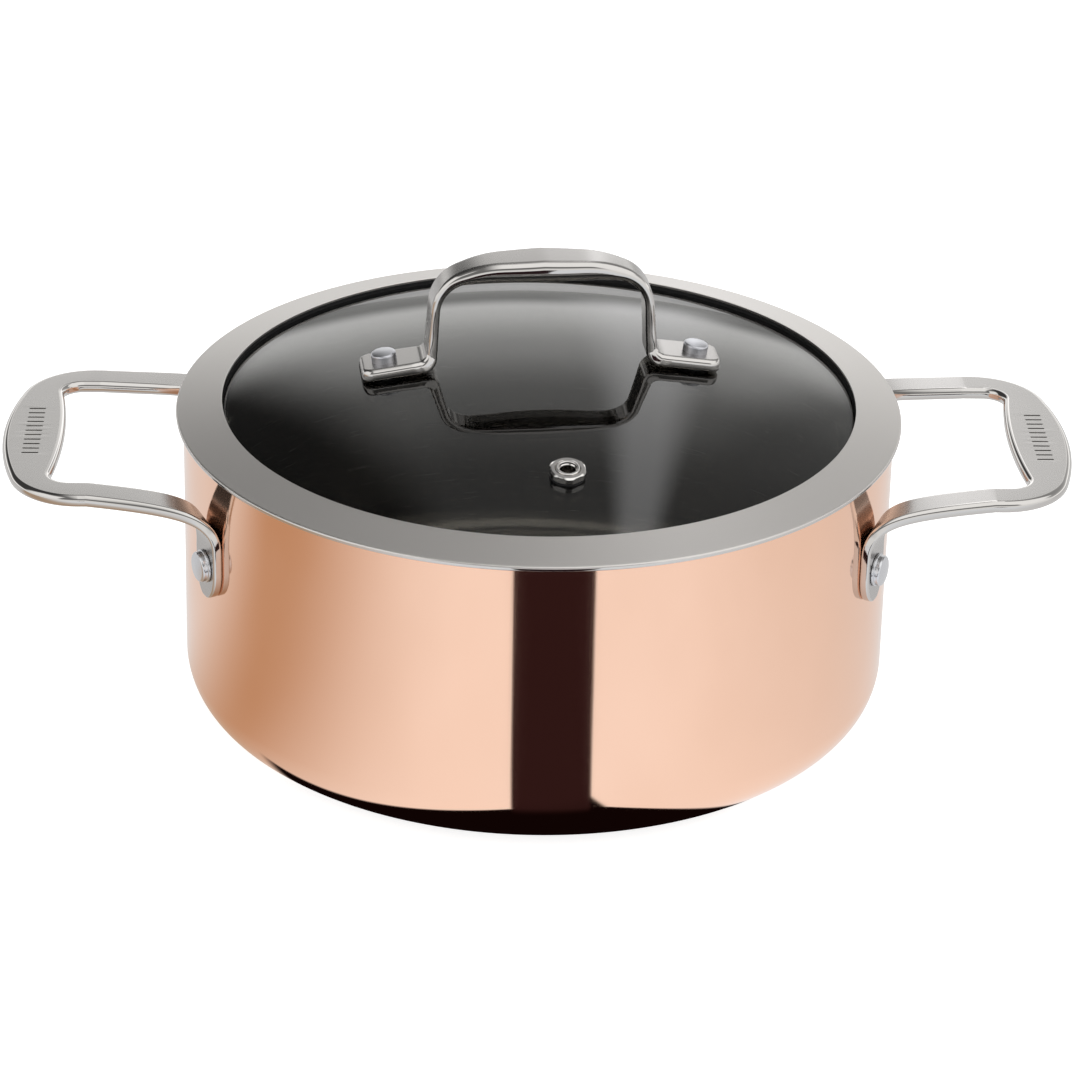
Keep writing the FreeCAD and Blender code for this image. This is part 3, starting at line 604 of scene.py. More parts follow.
def arm_ribs():
    """Ribs of the rear arm, from the grip down to its tab's tip."""
    polar = math.radians(RIVET_POLAR)
    outward = np.array((math.cos(polar), math.sin(polar), 0))
    mid_r = POT_OUTER_R + TAB_T / 2
    start = np.array((ARM_START_X, (ARM_INNER_Y + GRIP_HALF_WIDTH) / 2, GRIP_TOP_Z - GRIP_T / 2))
    end = outward * mid_r + (0, 0, RIVET_Z + TAB_TOP_ABOVE_RIVET)
    control = [start, start + ARM_REACH, end + (0, 0, ARM_DROP), end]
    fine = []
    for k in range(401):
        u = k / 400
        v = 1 - u
        place = (control[0] * v**3 + control[1] * 3 * v * v * u + control[2] * 3 * v * u * u
                 + control[3] * u**3)
        fine.append(np.append(place, u))
    ribs = []
    start_width = GRIP_HALF_WIDTH - ARM_INNER_Y
    for row in resample(fine, 36)[1:]:
        u = row[3]
        v = 1 - u
        tangent = unit((control[1] - control[0]) * v * v + (control[2] - control[1]) * 2 * v * u
                       + (control[3] - control[2]) * u * u)
        share = ease(u)
        across = np.array((-math.sin(polar * share), math.cos(polar * share), 0))
        normal = unit(np.cross(across, tangent))
        width = start_width + (2 * TAB_HALF_WIDTH - start_width) * share
        thickness = GRIP_T + (TAB_T - GRIP_T) * share
        radius = GRIP_EDGE_R + (TAB_EDGE_R - GRIP_EDGE_R) * share
        centre = row[:3]
        wrap = ease((u - 0.6) / 0.4)

        def bend(a, b, centre=centre, across=across, normal=normal, wrap=wrap):
            flat = centre + across * a + normal * b
            sag = wrap * a * a / (2 * POT_OUTER_R)
            return flat - outward * sag

        ribs.append([centre, across, normal, width / 2, thickness / 2, radius, radius, bend])
    tip = RIVET_Z - TAB_TIP_BELOW_RIVET
    leaf_l = TAB_TIP_BELOW_RIVET - 1.0
    round_start = tip + leaf_l
    heights = list(np.linspace(end[2], round_start, 6)[1:])
    heights += [tip + leaf_l * (1 - math.sin(math.radians(a))) for a in range(5, 86, 5)]
    heights += [tip + 0.02]
    across = np.array((-math.sin(polar), math.cos(polar), 0))
    for z in heights:
        below = max(0.0, round_start - z)
        half_width = TAB_HALF_WIDTH * math.sqrt(max(1 - (below / leaf_l)**2, 0.005))
        left = z - tip
        inset = 0.0
        if left < TAB_EDGE_R:
            inset = rounding(TAB_EDGE_R, left)
        half_t = TAB_T / 2 - inset * 0.9
        ribs.append([np.append(outward[:2] * mid_r, z), across, -outward, half_width, half_t,
                     TAB_EDGE_R, TAB_EDGE_R, wall_bend(polar, mid_r, z)])
    return ribs


def mirrored(ribs, axis):
    """The same ribs on the other side of the plane where one coordinate is zero."""
    flip = np.ones(3)
    flip[axis] = -1
    result = []
    for centre, u, v, half_u, half_v, r_plus, r_minus, bend in ribs:
        other = (lambda a, b, bend=bend: bend(a, b) * flip) if bend else None
        result.append([centre * flip, u * flip, v * flip, half_u, half_v, r_plus, r_minus, other])
    return result


def groove_cutter(side):
    """Row of round-ended grooves to sink into the top of one grip; their faces carry the painted groove
    shade.
    """
    points, faces = [], []
    middle_x = side * (GRIP_INNER_X + GRIP_OUTER_X) / 2
    outline = rounded([(GROOVE_L / 2, GROOVE_W / 2, 0.49 * GROOVE_W),
                       (-GROOVE_L / 2, GROOVE_W / 2, 0.49 * GROOVE_W),
                       (-GROOVE_L / 2, -GROOVE_W / 2, 0.49 * GROOVE_W),
                       (GROOVE_L / 2, -GROOVE_W / 2, 0.49 * GROOVE_W)], 5)
    for i in range(GROOVE_COUNT):
        y = (i - (GROOVE_COUNT - 1) / 2) * GROOVE_PITCH
        loops = []
        for z, shrink in ((GRIP_TOP_Z - GROOVE_DEPTH, 0.75), (GRIP_TOP_Z + 0.5, 1.0)):
            start = len(points)
            points += [(middle_x + p[0] * (0.96 if shrink < 1 else 1), y + p[1] * shrink, z)
                       for p in outline]
            loops.append(list(range(start, len(points))))
        count = len(outline)
        faces += [(loops[0][k], loops[0][(k + 1) % count], loops[1][(k + 1) % count], loops[1][k])
                  for k in range(count)]
        faces += [tuple(loops[0][::-1]), tuple(loops[1])]
    return make_piece("groove_cutter", points, faces, [GROOVE], None, None, None)


def cut(piece, cutter):
    """Takes the cutter's shape out of a piece and keeps the cutter's material on the new faces."""
    carve = piece.modifiers.new("carve", "BOOLEAN")
    carve.object = cutter
    carve.operation = "DIFFERENCE"
    carve.solver = "EXACT"
    carve.material_mode = "TRANSFER"
    weighted = piece.modifiers["even_normals"]
    piece.modifiers.remove(weighted)
    graph = bpy.context.evaluated_depsgraph_get()
    graph.update()
    made = bpy.data.meshes.new_from_object(piece.evaluated_get(graph))
    piece.modifiers.remove(carve)
    piece.data = made
    made.polygons.foreach_set("use_smooth", [True] * len(made.polygons))
    made.set_sharp_from_angle(angle=math.radians(38))
    weighted = piece.modifiers.new("even_normals", "WEIGHTED_NORMAL")
    weighted.keep_sharp = True
    weighted.weight = 100
    bpy.data.objects.remove(cutter)


def side_handles():
    half = grip_ribs() + arm_ribs()
    ribs = [r for r in mirrored(half[1:], 1)][::-1] + half
    for side, name in ((1, "right"), (-1, "left")):
        points, faces, sides = ribbed(ribs if side > 0 else mirrored(ribs, 0), 6)
        piece = make_piece(name + "_side_handle_visual", points, faces, [SATIN, POLISHED], "pot",
                           name + "_side_handle", "polished_steel", sides)
        cut(piece, groove_cutter(side))


# --- Lid ----------------------------------------------------------------------------
LID_PLACE = (Matrix.Translation((0, 0, LID_Z)) @ Matrix.Rotation(math.radians(LID_TURN), 4, "Z"))
BAND_SLOPE = BAND_RISE / (BAND_OUTER_R - BAND_INNER_R)
LEAF_DROP = BAND_SHEET * math.sqrt(1 + BAND_SLOPE**2)


def glass_z(r):
    return GLASS_APEX - GLASS_SPHERE_R + math.sqrt(GLASS_SPHERE_R**2 - r * r)


def glass_under_z(r):
    return GLASS_APEX - GLASS_SPHERE_R + math.sqrt((GLASS_SPHERE_R - GLASS_T)**2 - r * r)


def leaf_z(r):
    return BAND_SLOPE * (BAND_OUTER_R - r)


def on_glass(r, polar):
    """Place on the closed lid's glass, square to it."""
    tilt = math.asin(r / GLASS_SPHERE_R)
    return (LID_PLACE @ Matrix.Rotation(math.radians(polar), 4, "Z")
            @ Matrix.Translation((r, 0, glass_z(r))) @ Matrix.Rotation(tilt, 4, "Y"))


def drill(radius, place):
    """Round cutter through the glass."""
    points, faces = revolved([(0, -15), (radius, -15), (radius, 15), (0, 15)], 64, False)
    return make_piece("drill", moved(points, place), faces, [GLASS], None, None, None)


def lid_glass():
    radii = np.linspace(0, GLASS_EDGE_R - 0.5, 40)
    outline = [np.array((r, glass_z(r))) for r in radii]
    edge_top, edge_low = glass_z(GLASS_EDGE_R), glass_under_z(GLASS_EDGE_R)
    outline += [np.array((GLASS_EDGE_R, edge_top - 0.6)), np.array((GLASS_EDGE_R, edge_low + 0.6))]
    outline += [np.array((r, glass_under_z(r))) for r in radii[::-1]]
    piece = lathe("lid_glass_visual", outline, GLASS, "lid", "lid_glass", "tinted_glass", LID_PLACE,
                  segments=216, closed=False)
    for r, polar, radius in ((FOOT_RIVET_X, 0, LID_RIVET_SHANK_R + SLEEVE_T),
                             (FOOT_RIVET_X, 180, LID_RIVET_SHANK_R + SLEEVE_T),
                             (VENT_R, VENT_POLAR, VENT_TUBE_R + SLEEVE_T)):
        cut(piece, drill(radius, on_glass(r, polar)))


def rim_band():
    hem_r = HEM_DEPTH / 2
    hem_centre = BAND_OUTER_R - hem_r
    seat_z = -HEM_DEPTH
    skirt_inner = SKIRT_OUTER_R - BAND_SHEET
    top_start_z = BAND_SLOPE * hem_r
    hollow_end = BAND_OUTER_R - HEM_HOLLOW
    outline = [np.array((BAND_INNER_R + 0.15, leaf_z(BAND_INNER_R))),
               np.array((hem_centre - 0.3, leaf_z(hem_centre - 0.3)))]
    middle_z = (top_start_z + seat_z) / 2
    half_h = (top_start_z - seat_z) / 2
    for angle in range(80, -91, -10):
        outline.append(np.array((hem_centre + hem_r * math.cos(math.radians(angle)),
                                 middle_z + half_h * math.sin(math.radians(angle)))))
    outline += arc_at((hem_centre, seat_z), (SKIRT_OUTER_R, seat_z),
                      (SKIRT_OUTER_R, SKIRT_BOTTOM), SEAT_CORNER_R, 5)
    outline += arc_at((SKIRT_OUTER_R, seat_z), (SKIRT_OUTER_R, SKIRT_BOTTOM),
                      (LIP_INNER_R, SKIRT_BOTTOM), SKIRT_CORNER_R, 6)
    outline += [np.array(p) for p in (
        (LIP_INNER_R, SKIRT_BOTTOM), (LIP_INNER_R, SKIRT_BOTTOM + BAND_SHEET),
        (skirt_inner, SKIRT_BOTTOM + BAND_SHEET), (skirt_inner, seat_z + BAND_SHEET),
        (hollow_end, seat_z + BAND_SHEET),
        (hollow_end, min(leaf_z(hollow_end) - LEAF_DROP, top_start_z - HEM_GAP)),
        (BAND_INNER_R, leaf_z(BAND_INNER_R) - LEAF_DROP),
        (BAND_INNER_R, leaf_z(BAND_INNER_R) - 0.15))]
    piece = lathe("lid_rim_band_visual", outline, BAND, "lid", "lid_rim_band", "brushed_steel",
                  LID_PLACE, segments=320, longest=4.0)
    piece.data.materials.append(POLISHED)
    for face in piece.data.polygons:
        if math.hypot(face.center.x, face.center.y) > (hem_centre + 0.85 * hem_r) * MM:
            face.material_index = 1


def edge_gasket():
    inner_r = BAND_INNER_R + GASKET_SETBACK
    outer_r = SKIRT_OUTER_R - BAND_SHEET
    lip_z = SKIRT_BOTTOM + BAND_SHEET
    low_r = LIP_INNER_R + GASKET_SETBACK
    outline = [(inner_r, leaf_z(inner_r) - LEAF_DROP), (outer_r, leaf_z(outer_r) - LEAF_DROP),
               (outer_r, lip_z), (low_r, lip_z), (low_r, glass_under_z(low_r)),
               (GLASS_EDGE_R, glass_under_z(GLASS_EDGE_R)), (GLASS_EDGE_R, glass_z(GLASS_EDGE_R)),
               (inner_r, glass_z(inner_r))]
    lathe("lid_edge_gasket_visual", outline, SILICONE, "lid", "lid_edge_gasket", "black_silicone",
          LID_PLACE, segments=256)


def foot_line(x, height):
    """Height at x of a line parallel to the foot, a given distance above the glass."""
    tilt = math.asin(FOOT_RIVET_X / GLASS_SPHERE_R)
    return glass_z(FOOT_RIVET_X) + height / math.cos(tilt) - (x - FOOT_RIVET_X) * math.tan(tilt)


def strap_ribs():
    """Ribs from the middle of the lid handle's grip down its right leg to the foot's end."""
    sole, top = FOOT_PAD_T, FOOT_PAD_T + FOOT_T
    outer_half = STRAP_INNER_HALF + STRAP_LEG_T
    inner_top = STRAP_TOP_Z - STRAP_GRIP_T
    crown_x, crown_drop, crown_r = STRAP_CROWN
    shoulder_x, shoulder_drop, shoulder_r = STRAP_SHOULDER
    inner_lean, inner_drop, inner_r = STRAP_INNER_SHOULDER
    outer_pts = [(0.0, STRAP_TOP_Z), (crown_x, STRAP_TOP_Z - crown_drop),
                 (shoulder_x, STRAP_TOP_Z - shoulder_drop),
                 (outer_half, foot_line(outer_half, top)), (FOOT_END_X, foot_line(FOOT_END_X, top))]
    inner_pts = [(0.0, inner_top), (STRAP_INNER_HALF - inner_lean, inner_top - inner_drop),
                 (STRAP_INNER_HALF, foot_line(STRAP_INNER_HALF, sole)),
                 (FOOT_END_X, foot_line(FOOT_END_X, sole))]
    crown = arc_at(outer_pts[0], outer_pts[1], outer_pts[2], crown_r, 12)
    shoulder = arc_at(outer_pts[1], outer_pts[2], outer_pts[3], shoulder_r, 16)
    instep = arc_at(outer_pts[2], outer_pts[3], outer_pts[4], INSTEP_R, 16)
    inner_shoulder = arc_at(inner_pts[0], inner_pts[1], inner_pts[2], inner_r, 16)
    heel = arc_at(inner_pts[1], inner_pts[2], inner_pts[3], HEEL_R, 16)
    runs = [
        ([outer_pts[0]] + crown + [shoulder[0]], [inner_pts[0], inner_shoulder[0]], 14),
        (shoulder, inner_shoulder, 16),
        ([shoulder[-1], instep[0]], [inner_shoulder[-1], heel[0]], 8),
        (instep, heel, 16),
        ([instep[-1], outer_pts[4]], [heel[-1], inner_pts[3]], 44),
    ]
    flare = (FOOT_W - STRAP_LEG_W) / 2
    # Edge radii at the start and end of each run: outer or top side, inner or bottom side.
    outer_edge = ((3.0, 3.0), (3.0, 1.8), (1.8, 1.8), (1.8, 2.0), (2.0, 2.0))
    inner_edge = ((3.6, 3.6), (3.6, 1.8), (1.8, 1.8), (1.8, 1.1), (1.1, 1.1))
    foot_end_r = 1.1
    ribs = []
    for number, (outer_run, inner_run, count) in enumerate(runs):
        outer_even = resample(outer_run, count)
        inner_even = resample(inner_run, count)
        for k in range(0 if number == 0 else 1, count + 1):
            a, b = outer_even[k], inner_even[k]
            t = k / count
            half_w = STRAP_LEG_W / 2
            if number < 2:
                half_w += (STRAP_GRIP_W - STRAP_LEG_W) / 2 * (1 - ease(a[0] / outer_half))
            elif number == 2:
                half_w += 0.2 * flare * ease((t - 0.4) / 0.6)
            elif number == 3:
                half_w += flare * (0.2 + 0.65 * t)
            else:
                half_w += flare * (0.85 + 0.15 * ease(t / 0.15))
            half_u = np.linalg.norm(a - b) / 2
            left = FOOT_END_X - a[0]
            if number == 4 and left < FOOT_CORNER_R:
                half_w -= rounding(FOOT_CORNER_R, left)
            if number == 4 and left < foot_end_r:
                half_u -= 0.9 * rounding(foot_end_r, left)
            crisp, soft = (start + (end - start) * ease(t)
                           for start, end in (outer_edge[number], inner_edge[number]))
            u = unit(a - b)
            centre = (a + b) / 2
            ribs.append([np.array((centre[0], 0, centre[1])), np.array((u[0], 0, u[1])),
                         np.array((0, 1.0, 0)), half_u, half_w, crisp, soft, None])
    return ribs


def lid_handle():
    half = strap_ribs()
    ribs = mirrored(half[1:], 0)[::-1] + half
    points, faces, sides = ribbed(ribs, 6)
    # The top face of the grip, legs and feet is satin, in the darker satin copy with painted shade, and
    # its rear edge too; the rest is polished.
    count = len(faces) - 2
    per_rib = count // (len(ribs) - 1)
    tones = [0 if k < count and (k % per_rib >= per_rib - 3 or k % per_rib < 5) else 1
             for k in range(len(faces))]
    make_piece("lid_handle_visual", moved(points, LID_PLACE), faces, [SATIN_LID_SHADED, POLISHED], "lid",
               "lid_handle", "polished_steel", tones)


def lid_rivets():
    seat = FOOT_PAD_T + FOOT_T
    crown = seat + LID_RIVET_HEAD_H
    tail = -GLASS_T - FOOT_PAD_T - BACKING_T
    end = tail - LID_RIVET_TAIL_H
    dome = [(share * LID_RIVET_HEAD_R, crown - 0.5 * share**2) for share in (0, 0.2, 0.4, 0.6, 0.75)]
    outline = [np.array(point) for point in dome]
    outline += arc_at(dome[-1], (LID_RIVET_HEAD_R, crown - 0.5), (LID_RIVET_HEAD_R, seat), 0.8, 7)
    outline += [np.array(p) for p in ((LID_RIVET_HEAD_R, seat), (LID_RIVET_SHANK_R, seat),
                                      (LID_RIVET_SHANK_R, tail), (LID_RIVET_TAIL_R, tail))]
    outline += arc_at((LID_RIVET_TAIL_R, tail), (LID_RIVET_TAIL_R - 0.2, end + 0.2), (0, end), 0.7, 5)
    outline.append(np.array((0.0, end)))
    for side, polar in (("right", 0), ("left", 180)):
        lathe(side + "_lid_rivet_visual", outline, LID_RIVET, "lid", side + "_lid_rivet", "rivet_steel",
              on_glass(FOOT_RIVET_X, polar), segments=64, longest=1.5, closed=False, sharp=50)


def vent_nut():
    """Hexagon nut: rings whose radius follows the flats, cut back by the turned corners."""
    seat, flat_r = VENT_WASHER_T, VENT_NUT_ACROSS_FLATS / 2
    high = seat + VENT_NUT_H
    segments = 144
    steps = 8
    cut_back = VENT_NUT_CORNER_R - VENT_NUT_FACE_R
    levels = [(seat + VENT_NUT_CHAMFER * k / steps, VENT_NUT_FACE_R + cut_back * k / steps)
              for k in range(steps + 1)]
    levels += [(high - VENT_NUT_CHAMFER * k / steps, VENT_NUT_FACE_R + cut_back * k / steps)
               for k in range(steps, -1, -1)]
    points, rings = [], []

    def ring(radius_at, z):
        start = len(points)
        for k in range(segments):
            angle = 2 * math.pi * k / segments
            r = radius_at(angle)
            points.append((r * math.cos(angle), r * math.sin(angle), z))
        rings.append(list(range(start, len(points))))

    def flats(angle):
        """Distance to the hexagon's flats, with a corner on the local X axis."""
        local = angle % (math.pi / 3) - math.pi / 6
        return flat_r / math.cos(local)

    for z, limit in levels:
        ring(lambda angle: min(flats(angle), limit), z)
    for r, z in ((VENT_TUBE_R + 0.4, high), (VENT_TUBE_R, high - 0.5), (VENT_TUBE_R, seat)):
        ring(lambda angle: r, z)
    faces = []
    for a, b in zip(rings, rings[1:] + rings[:1]):
        faces += [(a[k], a[(k + 1) % segments], b[(k + 1) % segments], b[k]) for k in range(segments)]
    make_piece("vent_nut_visual", moved(points, on_glass(VENT_R, VENT_POLAR)), faces, [NUT_STEEL],
               "lid", "vent_nut", "polished_steel", sharp=22)


def vent_screw():
    """Hollow screw: flared rim above the nut, a lip inside its mouth and a flange below."""
    under = -GLASS_T - VENT_WASHER_T
    high = VENT_WASHER_T + VENT_NUT_H + VENT_TUBE_PROUD
    mouth_r = VENT_HOLE_R + 0.15
    bore_r = VENT_HOLE_R - 0.2
    end = under - VENT_FLANGE_T
    outline = rounded([
        (mouth_r, high, 0.35), (VENT_TUBE_R, high, 0.28), (VENT_TUBE_R, under, 0),
        (VENT_WASHER_R, under, 0.15), (VENT_WASHER_R, end, 0.6), (bore_r, end, 0.2),
        (bore_r, high - 1.15, 0.15), (mouth_r, high - 0.85, 0)], 5)
    lathe("vent_hollow_screw_visual", outline, NUT_STEEL, "lid", "vent_hollow_screw",
          "polished_steel", on_glass(VENT_R, VENT_POLAR), segments=72, longest=2.0)


def small_lid_parts():
    """The gaskets and washers of the CAD model keep their own meshes and get materials."""
    washers = {"right_backing_washer", "left_backing_washer"}
    gaskets = {"right_foot_gasket", "left_foot_gasket", "right_under_gasket", "left_under_gasket",
               "vent_gasket_top", "vent_gasket_bottom"}
    for names, material, slot in ((washers, RIVET, "rivet_steel"),
                                  (gaskets, SILICONE, "black_silicone")):
        for name in sorted(names):
            node = frame["nodes"][name]
            node.data.materials.clear()
            node.data.materials.append(material)


# --- Studio -------------------------------------------------------------------------
CAMERA_PLACE = (-0.05234989, -1.36270606, 0.7323333)
CAMERA_RIGHT = (0.99935718, -0.02894339, 0.02115418)
CAMERA_UP = (-0.00606715, 0.4450184, 0.89550087)
CAMERA_FORWARD = (0.03533283, 0.89505358, -0.44455673)
CAMERA_LENS = 144.739
CAMERA_TURN = -2.2


def camera():
    data = bpy.data.cameras.new("photo_camera")
    data.sensor_width = 36
    data.lens = CAMERA_LENS
    data.clip_start = 0.05
    data.clip_end = 50
    view = bpy.data.objects.new("photo_camera", data)
    bpy.context.scene.collection.objects.link(view)
    axes = [Vector(CAMERA_RIGHT), Vector(CAMERA_UP), -Vector(CAMERA_FORWARD)]
    turn = Matrix([[axis[row] for axis in axes] for row in range(3)]).to_4x4()
    view.matrix_world = Matrix.Translation(CAMERA_PLACE) @ turn
    bpy.context.scene.camera = view


def plane(name, half, z, material, turn=0.0):
    mesh = bpy.data.meshes.new(name)
    mesh.from_pydata([(-half, -half, z), (half, -half, z), (half, half, z), (-half, half, z)], [],
                     [(0, 1, 2, 3)])
    mesh.materials.append(material)
    made = bpy.data.objects.new(name, mesh)
    made.rotation_euler = (0, 0, math.radians(turn))
    bpy.context.scene.collection.objects.link(made)
    return made


def floor():
    material = bpy.data.materials.new("pale_floor")
    material.use_nodes = True
    tree = material.node_tree
    shader = tree.nodes["Principled BSDF"]
    shader.inputs["Base Color"].default_value = rgb(0.5, 0.5, 0.5)
    shader.inputs["Roughness"].default_value = 1.0
    shader.inputs["Specular IOR Level"].default_value = 0.0
    shader.inputs["Emission Color"].default_value = rgb(1, 1, 1)
    shader.inputs["Emission Strength"].default_value = 0.86
    made = plane("floor", 4.0, -0.0003, material)
    made.visible_glossy = False


def bare_material(name):
    """A material without any nodes yet, and its node tree."""
    material = bpy.data.materials.new(name)
    material.use_nodes = True
    material.node_tree.nodes.clear()
    return material, material.node_tree


def side_of_line(tree, x, y, a, b, soft):
    """1 to the left of the line from a to b, 0 to its right, with a soft edge in mm."""
    (ax, ay), (bx, by) = a, b
    length = math.hypot(bx - ax, by - ay)
    nx, ny = -(by - ay) / length, (bx - ax) / length
    offset = -(ax * nx + ay * ny)
    distance = calc(tree, "ADD", calc(tree, "MULTIPLY_ADD", x, nx,
                                      calc(tree, "MULTIPLY", y, ny)), offset)
    return step_between(tree, distance, -soft, soft)


def both(tree, a, b):
    return calc(tree, "MULTIPLY", a, b)


def either(tree, a, b):
    return calc(tree, "MAXIMUM", a, b)


def cards_with_painted_shade():
    """Glowing cards on a dark table, with a gap in front, which only the gloss sees: their glow stands
    in for lit white cards, with a painted shadow of the pot in front, painted warm shade on the left
    and painted shade to the right and behind.
    """
    material, tree = bare_material("cards_with_painted_shade")
    place = put(tree, "ShaderNodeTexCoord").outputs["Object"]
    scaled = put(tree, "ShaderNodeVectorMath", {0: place, 1: (1000, 1000, 1000)},
                 operation="MULTIPLY").outputs[0]
    split = put(tree, "ShaderNodeSeparateXYZ", {0: scaled})
    x, y = split.outputs["X"], split.outputs["Y"]

    def left_of(a, b):
        return side_of_line(tree, x, y, a, b, 1.2)

    gap = both(tree, left_of((-5, -120), (-30, -320)), left_of((65, -250), (20, -120)))
    # Painted shadow of the pot on the table, in a V in front of it.
    painted_pot_shadow = both(tree, left_of((-70, -100), (-10, -150)), left_of((35, -155), (65, -100)))
    painted_pot_shadow = both(tree, painted_pot_shadow, step_between(tree, y, -70, -80))
    dark = either(tree, gap, painted_pot_shadow)
    bearing = calc(tree, "ARCTAN2", x, calc(tree, "MULTIPLY", y, -1.0))
    # Painted warm shade: the cards turn brown on the left.
    painted_warm_shade = step_between(tree, bearing, math.radians(-18), math.radians(-72))
    # Painted shade: the cards are dimmer on the right.
    painted_shade_right = step_between(tree, bearing, math.radians(25), math.radians(80))
    white = rgb(1.02, 1.06, 1.10)
    lit = blend(tree, painted_warm_shade, white, rgb(0.55, 0.39, 0.26))
    lit = blend(tree, painted_shade_right, lit, rgb(0.86, 0.86, 0.86))
    # Painted shade: the cards are dimmer behind the pot.
    behind = step_between(tree, y, -70, 40)
    lit = blend(tree, behind, lit, rgb(0.80, 0.80, 0.80))
    mottle = noise(tree, place, 9.0, 2.0)
    lit = blend(tree, step_between(tree, mottle, 0.25, 0.75, 0.0, 0.12), lit, rgb(0.7, 0.66, 0.62))
    # The dark colour covers the gap and the painted shadow of the pot.
    colour = blend(tree, dark, lit, rgb(0.005, 0.002, 0.002))
    far_gap = both(tree, gap, step_between(tree, y, -135, -160))
    colour = blend(tree, far_gap, colour, rgb(0.03, 0.014, 0.016))
    glow = put(tree, "ShaderNodeEmission", {"Color": colour, "Strength": 1.0})
    out = put(tree, "ShaderNodeOutputMaterial")
    tree.links.new(glow.outputs[0], out.inputs["Surface"])
    only_gloss_sees(plane("cards_with_painted_shade", 4.0, -0.001, material, CAMERA_TURN))


def world():
    """Soft studio surroundings: white wall behind, grey ceiling, big soft sources at the sides."""
    surroundings = bpy.data.worlds.new("studio")
    bpy.context.scene.world = surroundings
    surroundings.use_nodes = True
    tree = surroundings.node_tree
    tree.nodes.clear()
    direction = put(tree, "ShaderNodeTexCoord").outputs["Generated"]
    split = put(tree, "ShaderNodeSeparateXYZ", {0: direction})
    x, y, z = (split.outputs[n] for n in "XYZ")
    height = calc(tree, "ARCSINE", z)
    flat_square = calc(tree, "ADD", calc(tree, "MULTIPLY", x, x), calc(tree, "MULTIPLY", y, y))
    flat = calc(tree, "SQRT", flat_square)
    sideways = calc(tree, "DIVIDE", x, flat)
    aside = calc(tree, "ABSOLUTE", calc(tree, "ARCTAN2", x, calc(tree, "MULTIPLY", y, -1.0)))
    deg = math.radians

    def grey(level):
        return rgb(level, level, level * 0.985)

    def rises(value, low, high):
        return step_between(tree, value, low, high)

    # Behind the pot: a white wall that darkens upward, more so to the left.
    colour = grey(0.50)
    for start, end, level in ((2, 7, 1.50), (9, 21, 1.15), (20, 33, 0.66), (33, 50, 0.33)):
        colour = blend(tree, rises(height, deg(start), deg(end)), colour, grey(level))
    right = both(tree, rises(sideways, 0.24, 0.36), rises(height, deg(10), deg(20)))
    colour = blend(tree, calc(tree, "MULTIPLY", right, 0.75), colour, grey(0.30))
    shade = both(tree, rises(sideways, -0.14, -0.30), rises(height, deg(7), deg(21)))
    colour = blend(tree, shade, colour, grey(0.06))
    # In front: a dim room with a big soft source on each side.
    softbox = both(tree, both(tree, rises(aside, deg(30), deg(38)), rises(aside, deg(104), deg(96))),
                   both(tree, rises(height, deg(8), deg(14)), rises(height, deg(62), deg(54))))
    room = blend(tree, softbox, grey(0.22), grey(1.2))
    room = blend(tree, rises(height, deg(26), deg(12)), room, grey(1.05))
    colour = blend(tree, rises(y, 0.12, -0.12), colour, room)
    # Overhead: a white panel.
    up = calc(tree, "MAXIMUM", z, 0.01)
    lean = calc(tree, "DIVIDE", y, up)
    across = calc(tree, "DIVIDE", x, up)
    panel = both(tree, both(tree, rises(lean, 0.5, 0.34), rises(lean, -1.25, -0.95)),
                 both(tree, rises(across, -0.3, 0.0), rises(across, 1.5, 1.1)))
    colour = blend(tree, panel, colour, grey(1.25))
    seen = put(tree, "ShaderNodeLightPath").outputs["Is Camera Ray"]
    colour = blend(tree, seen, colour, rgb(1, 1, 1))
    glow = put(tree, "ShaderNodeBackground", {"Color": colour, "Strength": 1.0})
    out = put(tree, "ShaderNodeOutputWorld")
    tree.links.new(glow.outputs[0], out.inputs["Surface"])


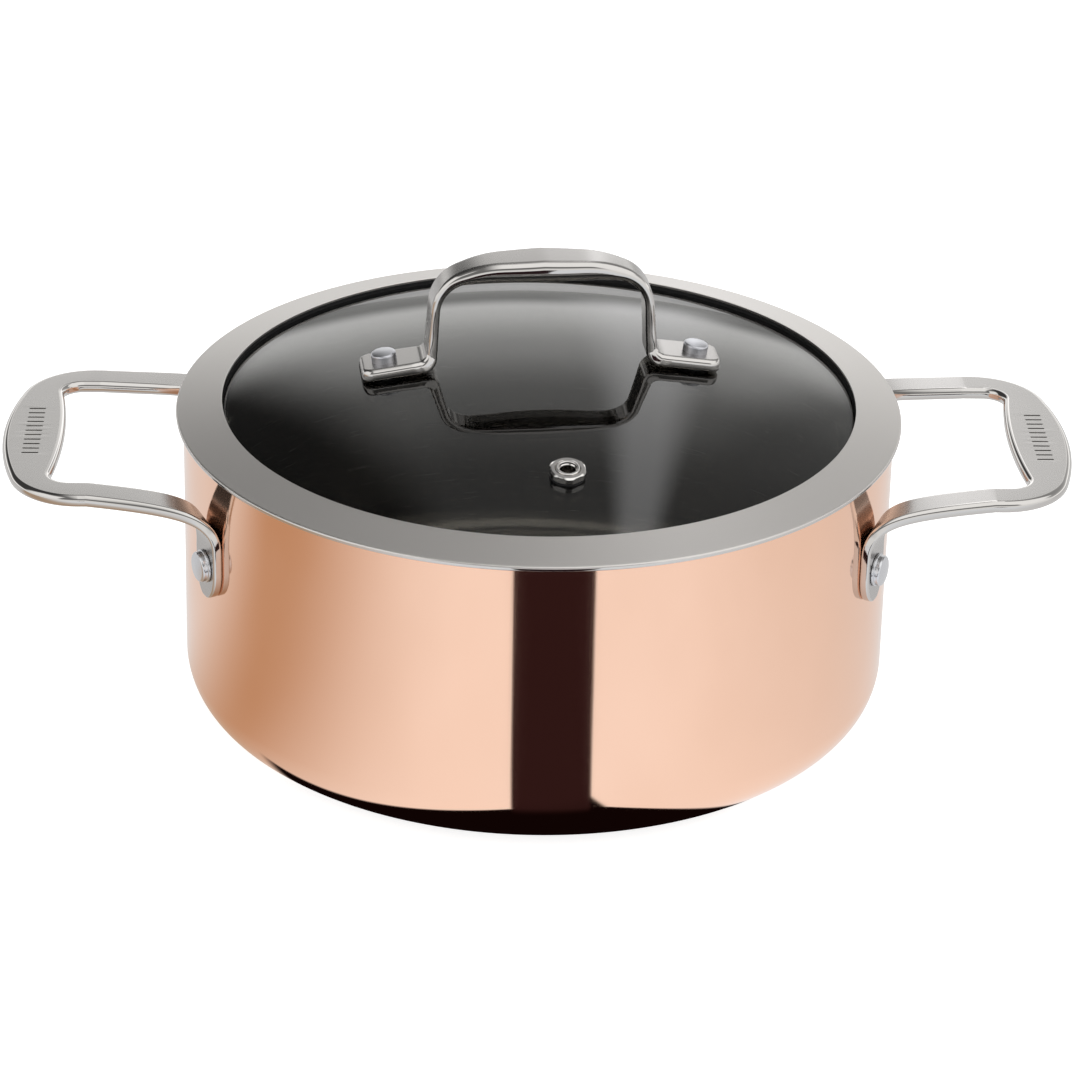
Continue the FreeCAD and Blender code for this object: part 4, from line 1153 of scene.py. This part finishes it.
def tall_lamp():
    """Tall strip lamp behind the pot, leaning to the right, which only the gloss sees."""
    material, tree = bare_material("tall_lamp")
    split = put(tree, "ShaderNodeSeparateXYZ", {0: put(tree, "ShaderNodeTexCoord").outputs["Object"]})
    middle = step_between(tree, calc(tree, "ABSOLUTE", split.outputs["X"]), 0.105, 0.02)
    foot = step_between(tree, split.outputs["Z"], -0.5, -0.35)
    glow = put(tree, "ShaderNodeEmission", {"Color": rgb(1, 1, 1), "Strength": 1.75})
    clear = put(tree, "ShaderNodeBsdfTransparent")
    mixed = put(tree, "ShaderNodeMixShader", {0: both(tree, middle, foot), 1: clear.outputs[0],
                                              2: glow.outputs[0]})
    out = put(tree, "ShaderNodeOutputMaterial")
    tree.links.new(mixed.outputs[0], out.inputs["Surface"])
    mesh = bpy.data.meshes.new("tall_lamp")
    mesh.from_pydata([(-0.11, 0, -0.5), (0.11, 0, -0.5), (0.11, 0, 1.8), (-0.11, 0, 1.8)], [],
                     [(0, 1, 2, 3)])
    mesh.materials.append(material)
    lamp = bpy.data.objects.new("tall_lamp", mesh)
    lamp.location = (0.2, 1.0, 0.585)
    lamp.rotation_euler = (0, math.radians(7.6), 0)
    bpy.context.scene.collection.objects.link(lamp)
    only_gloss_sees(lamp)


def only_gloss_sees(thing):
    thing.visible_camera = False
    thing.visible_diffuse = False
    thing.visible_transmission = False
    thing.visible_shadow = False


def overhead_light():
    data = bpy.data.lights.new("overhead_softbox", "AREA")
    data.shape = "RECTANGLE"
    data.size = 1.4
    data.size_y = 1.0
    data.energy = 14.0
    lamp = bpy.data.objects.new("overhead_softbox", data)
    lamp.location = (0.1, -0.1, 1.5)
    bpy.context.scene.collection.objects.link(lamp)
    lamp.visible_glossy = False


def main():
    bpy.context.scene.view_settings.view_transform = "Standard"
    camera()
    floor()
    cards_with_painted_shade()
    world()
    tall_lamp()
    overhead_light()
    pot_shells()
    pot_rivets()
    side_handles()
    rim_band()
    lid_glass()
    edge_gasket()
    lid_handle()
    lid_rivets()
    vent_nut()
    vent_screw()
    small_lid_parts()


main()
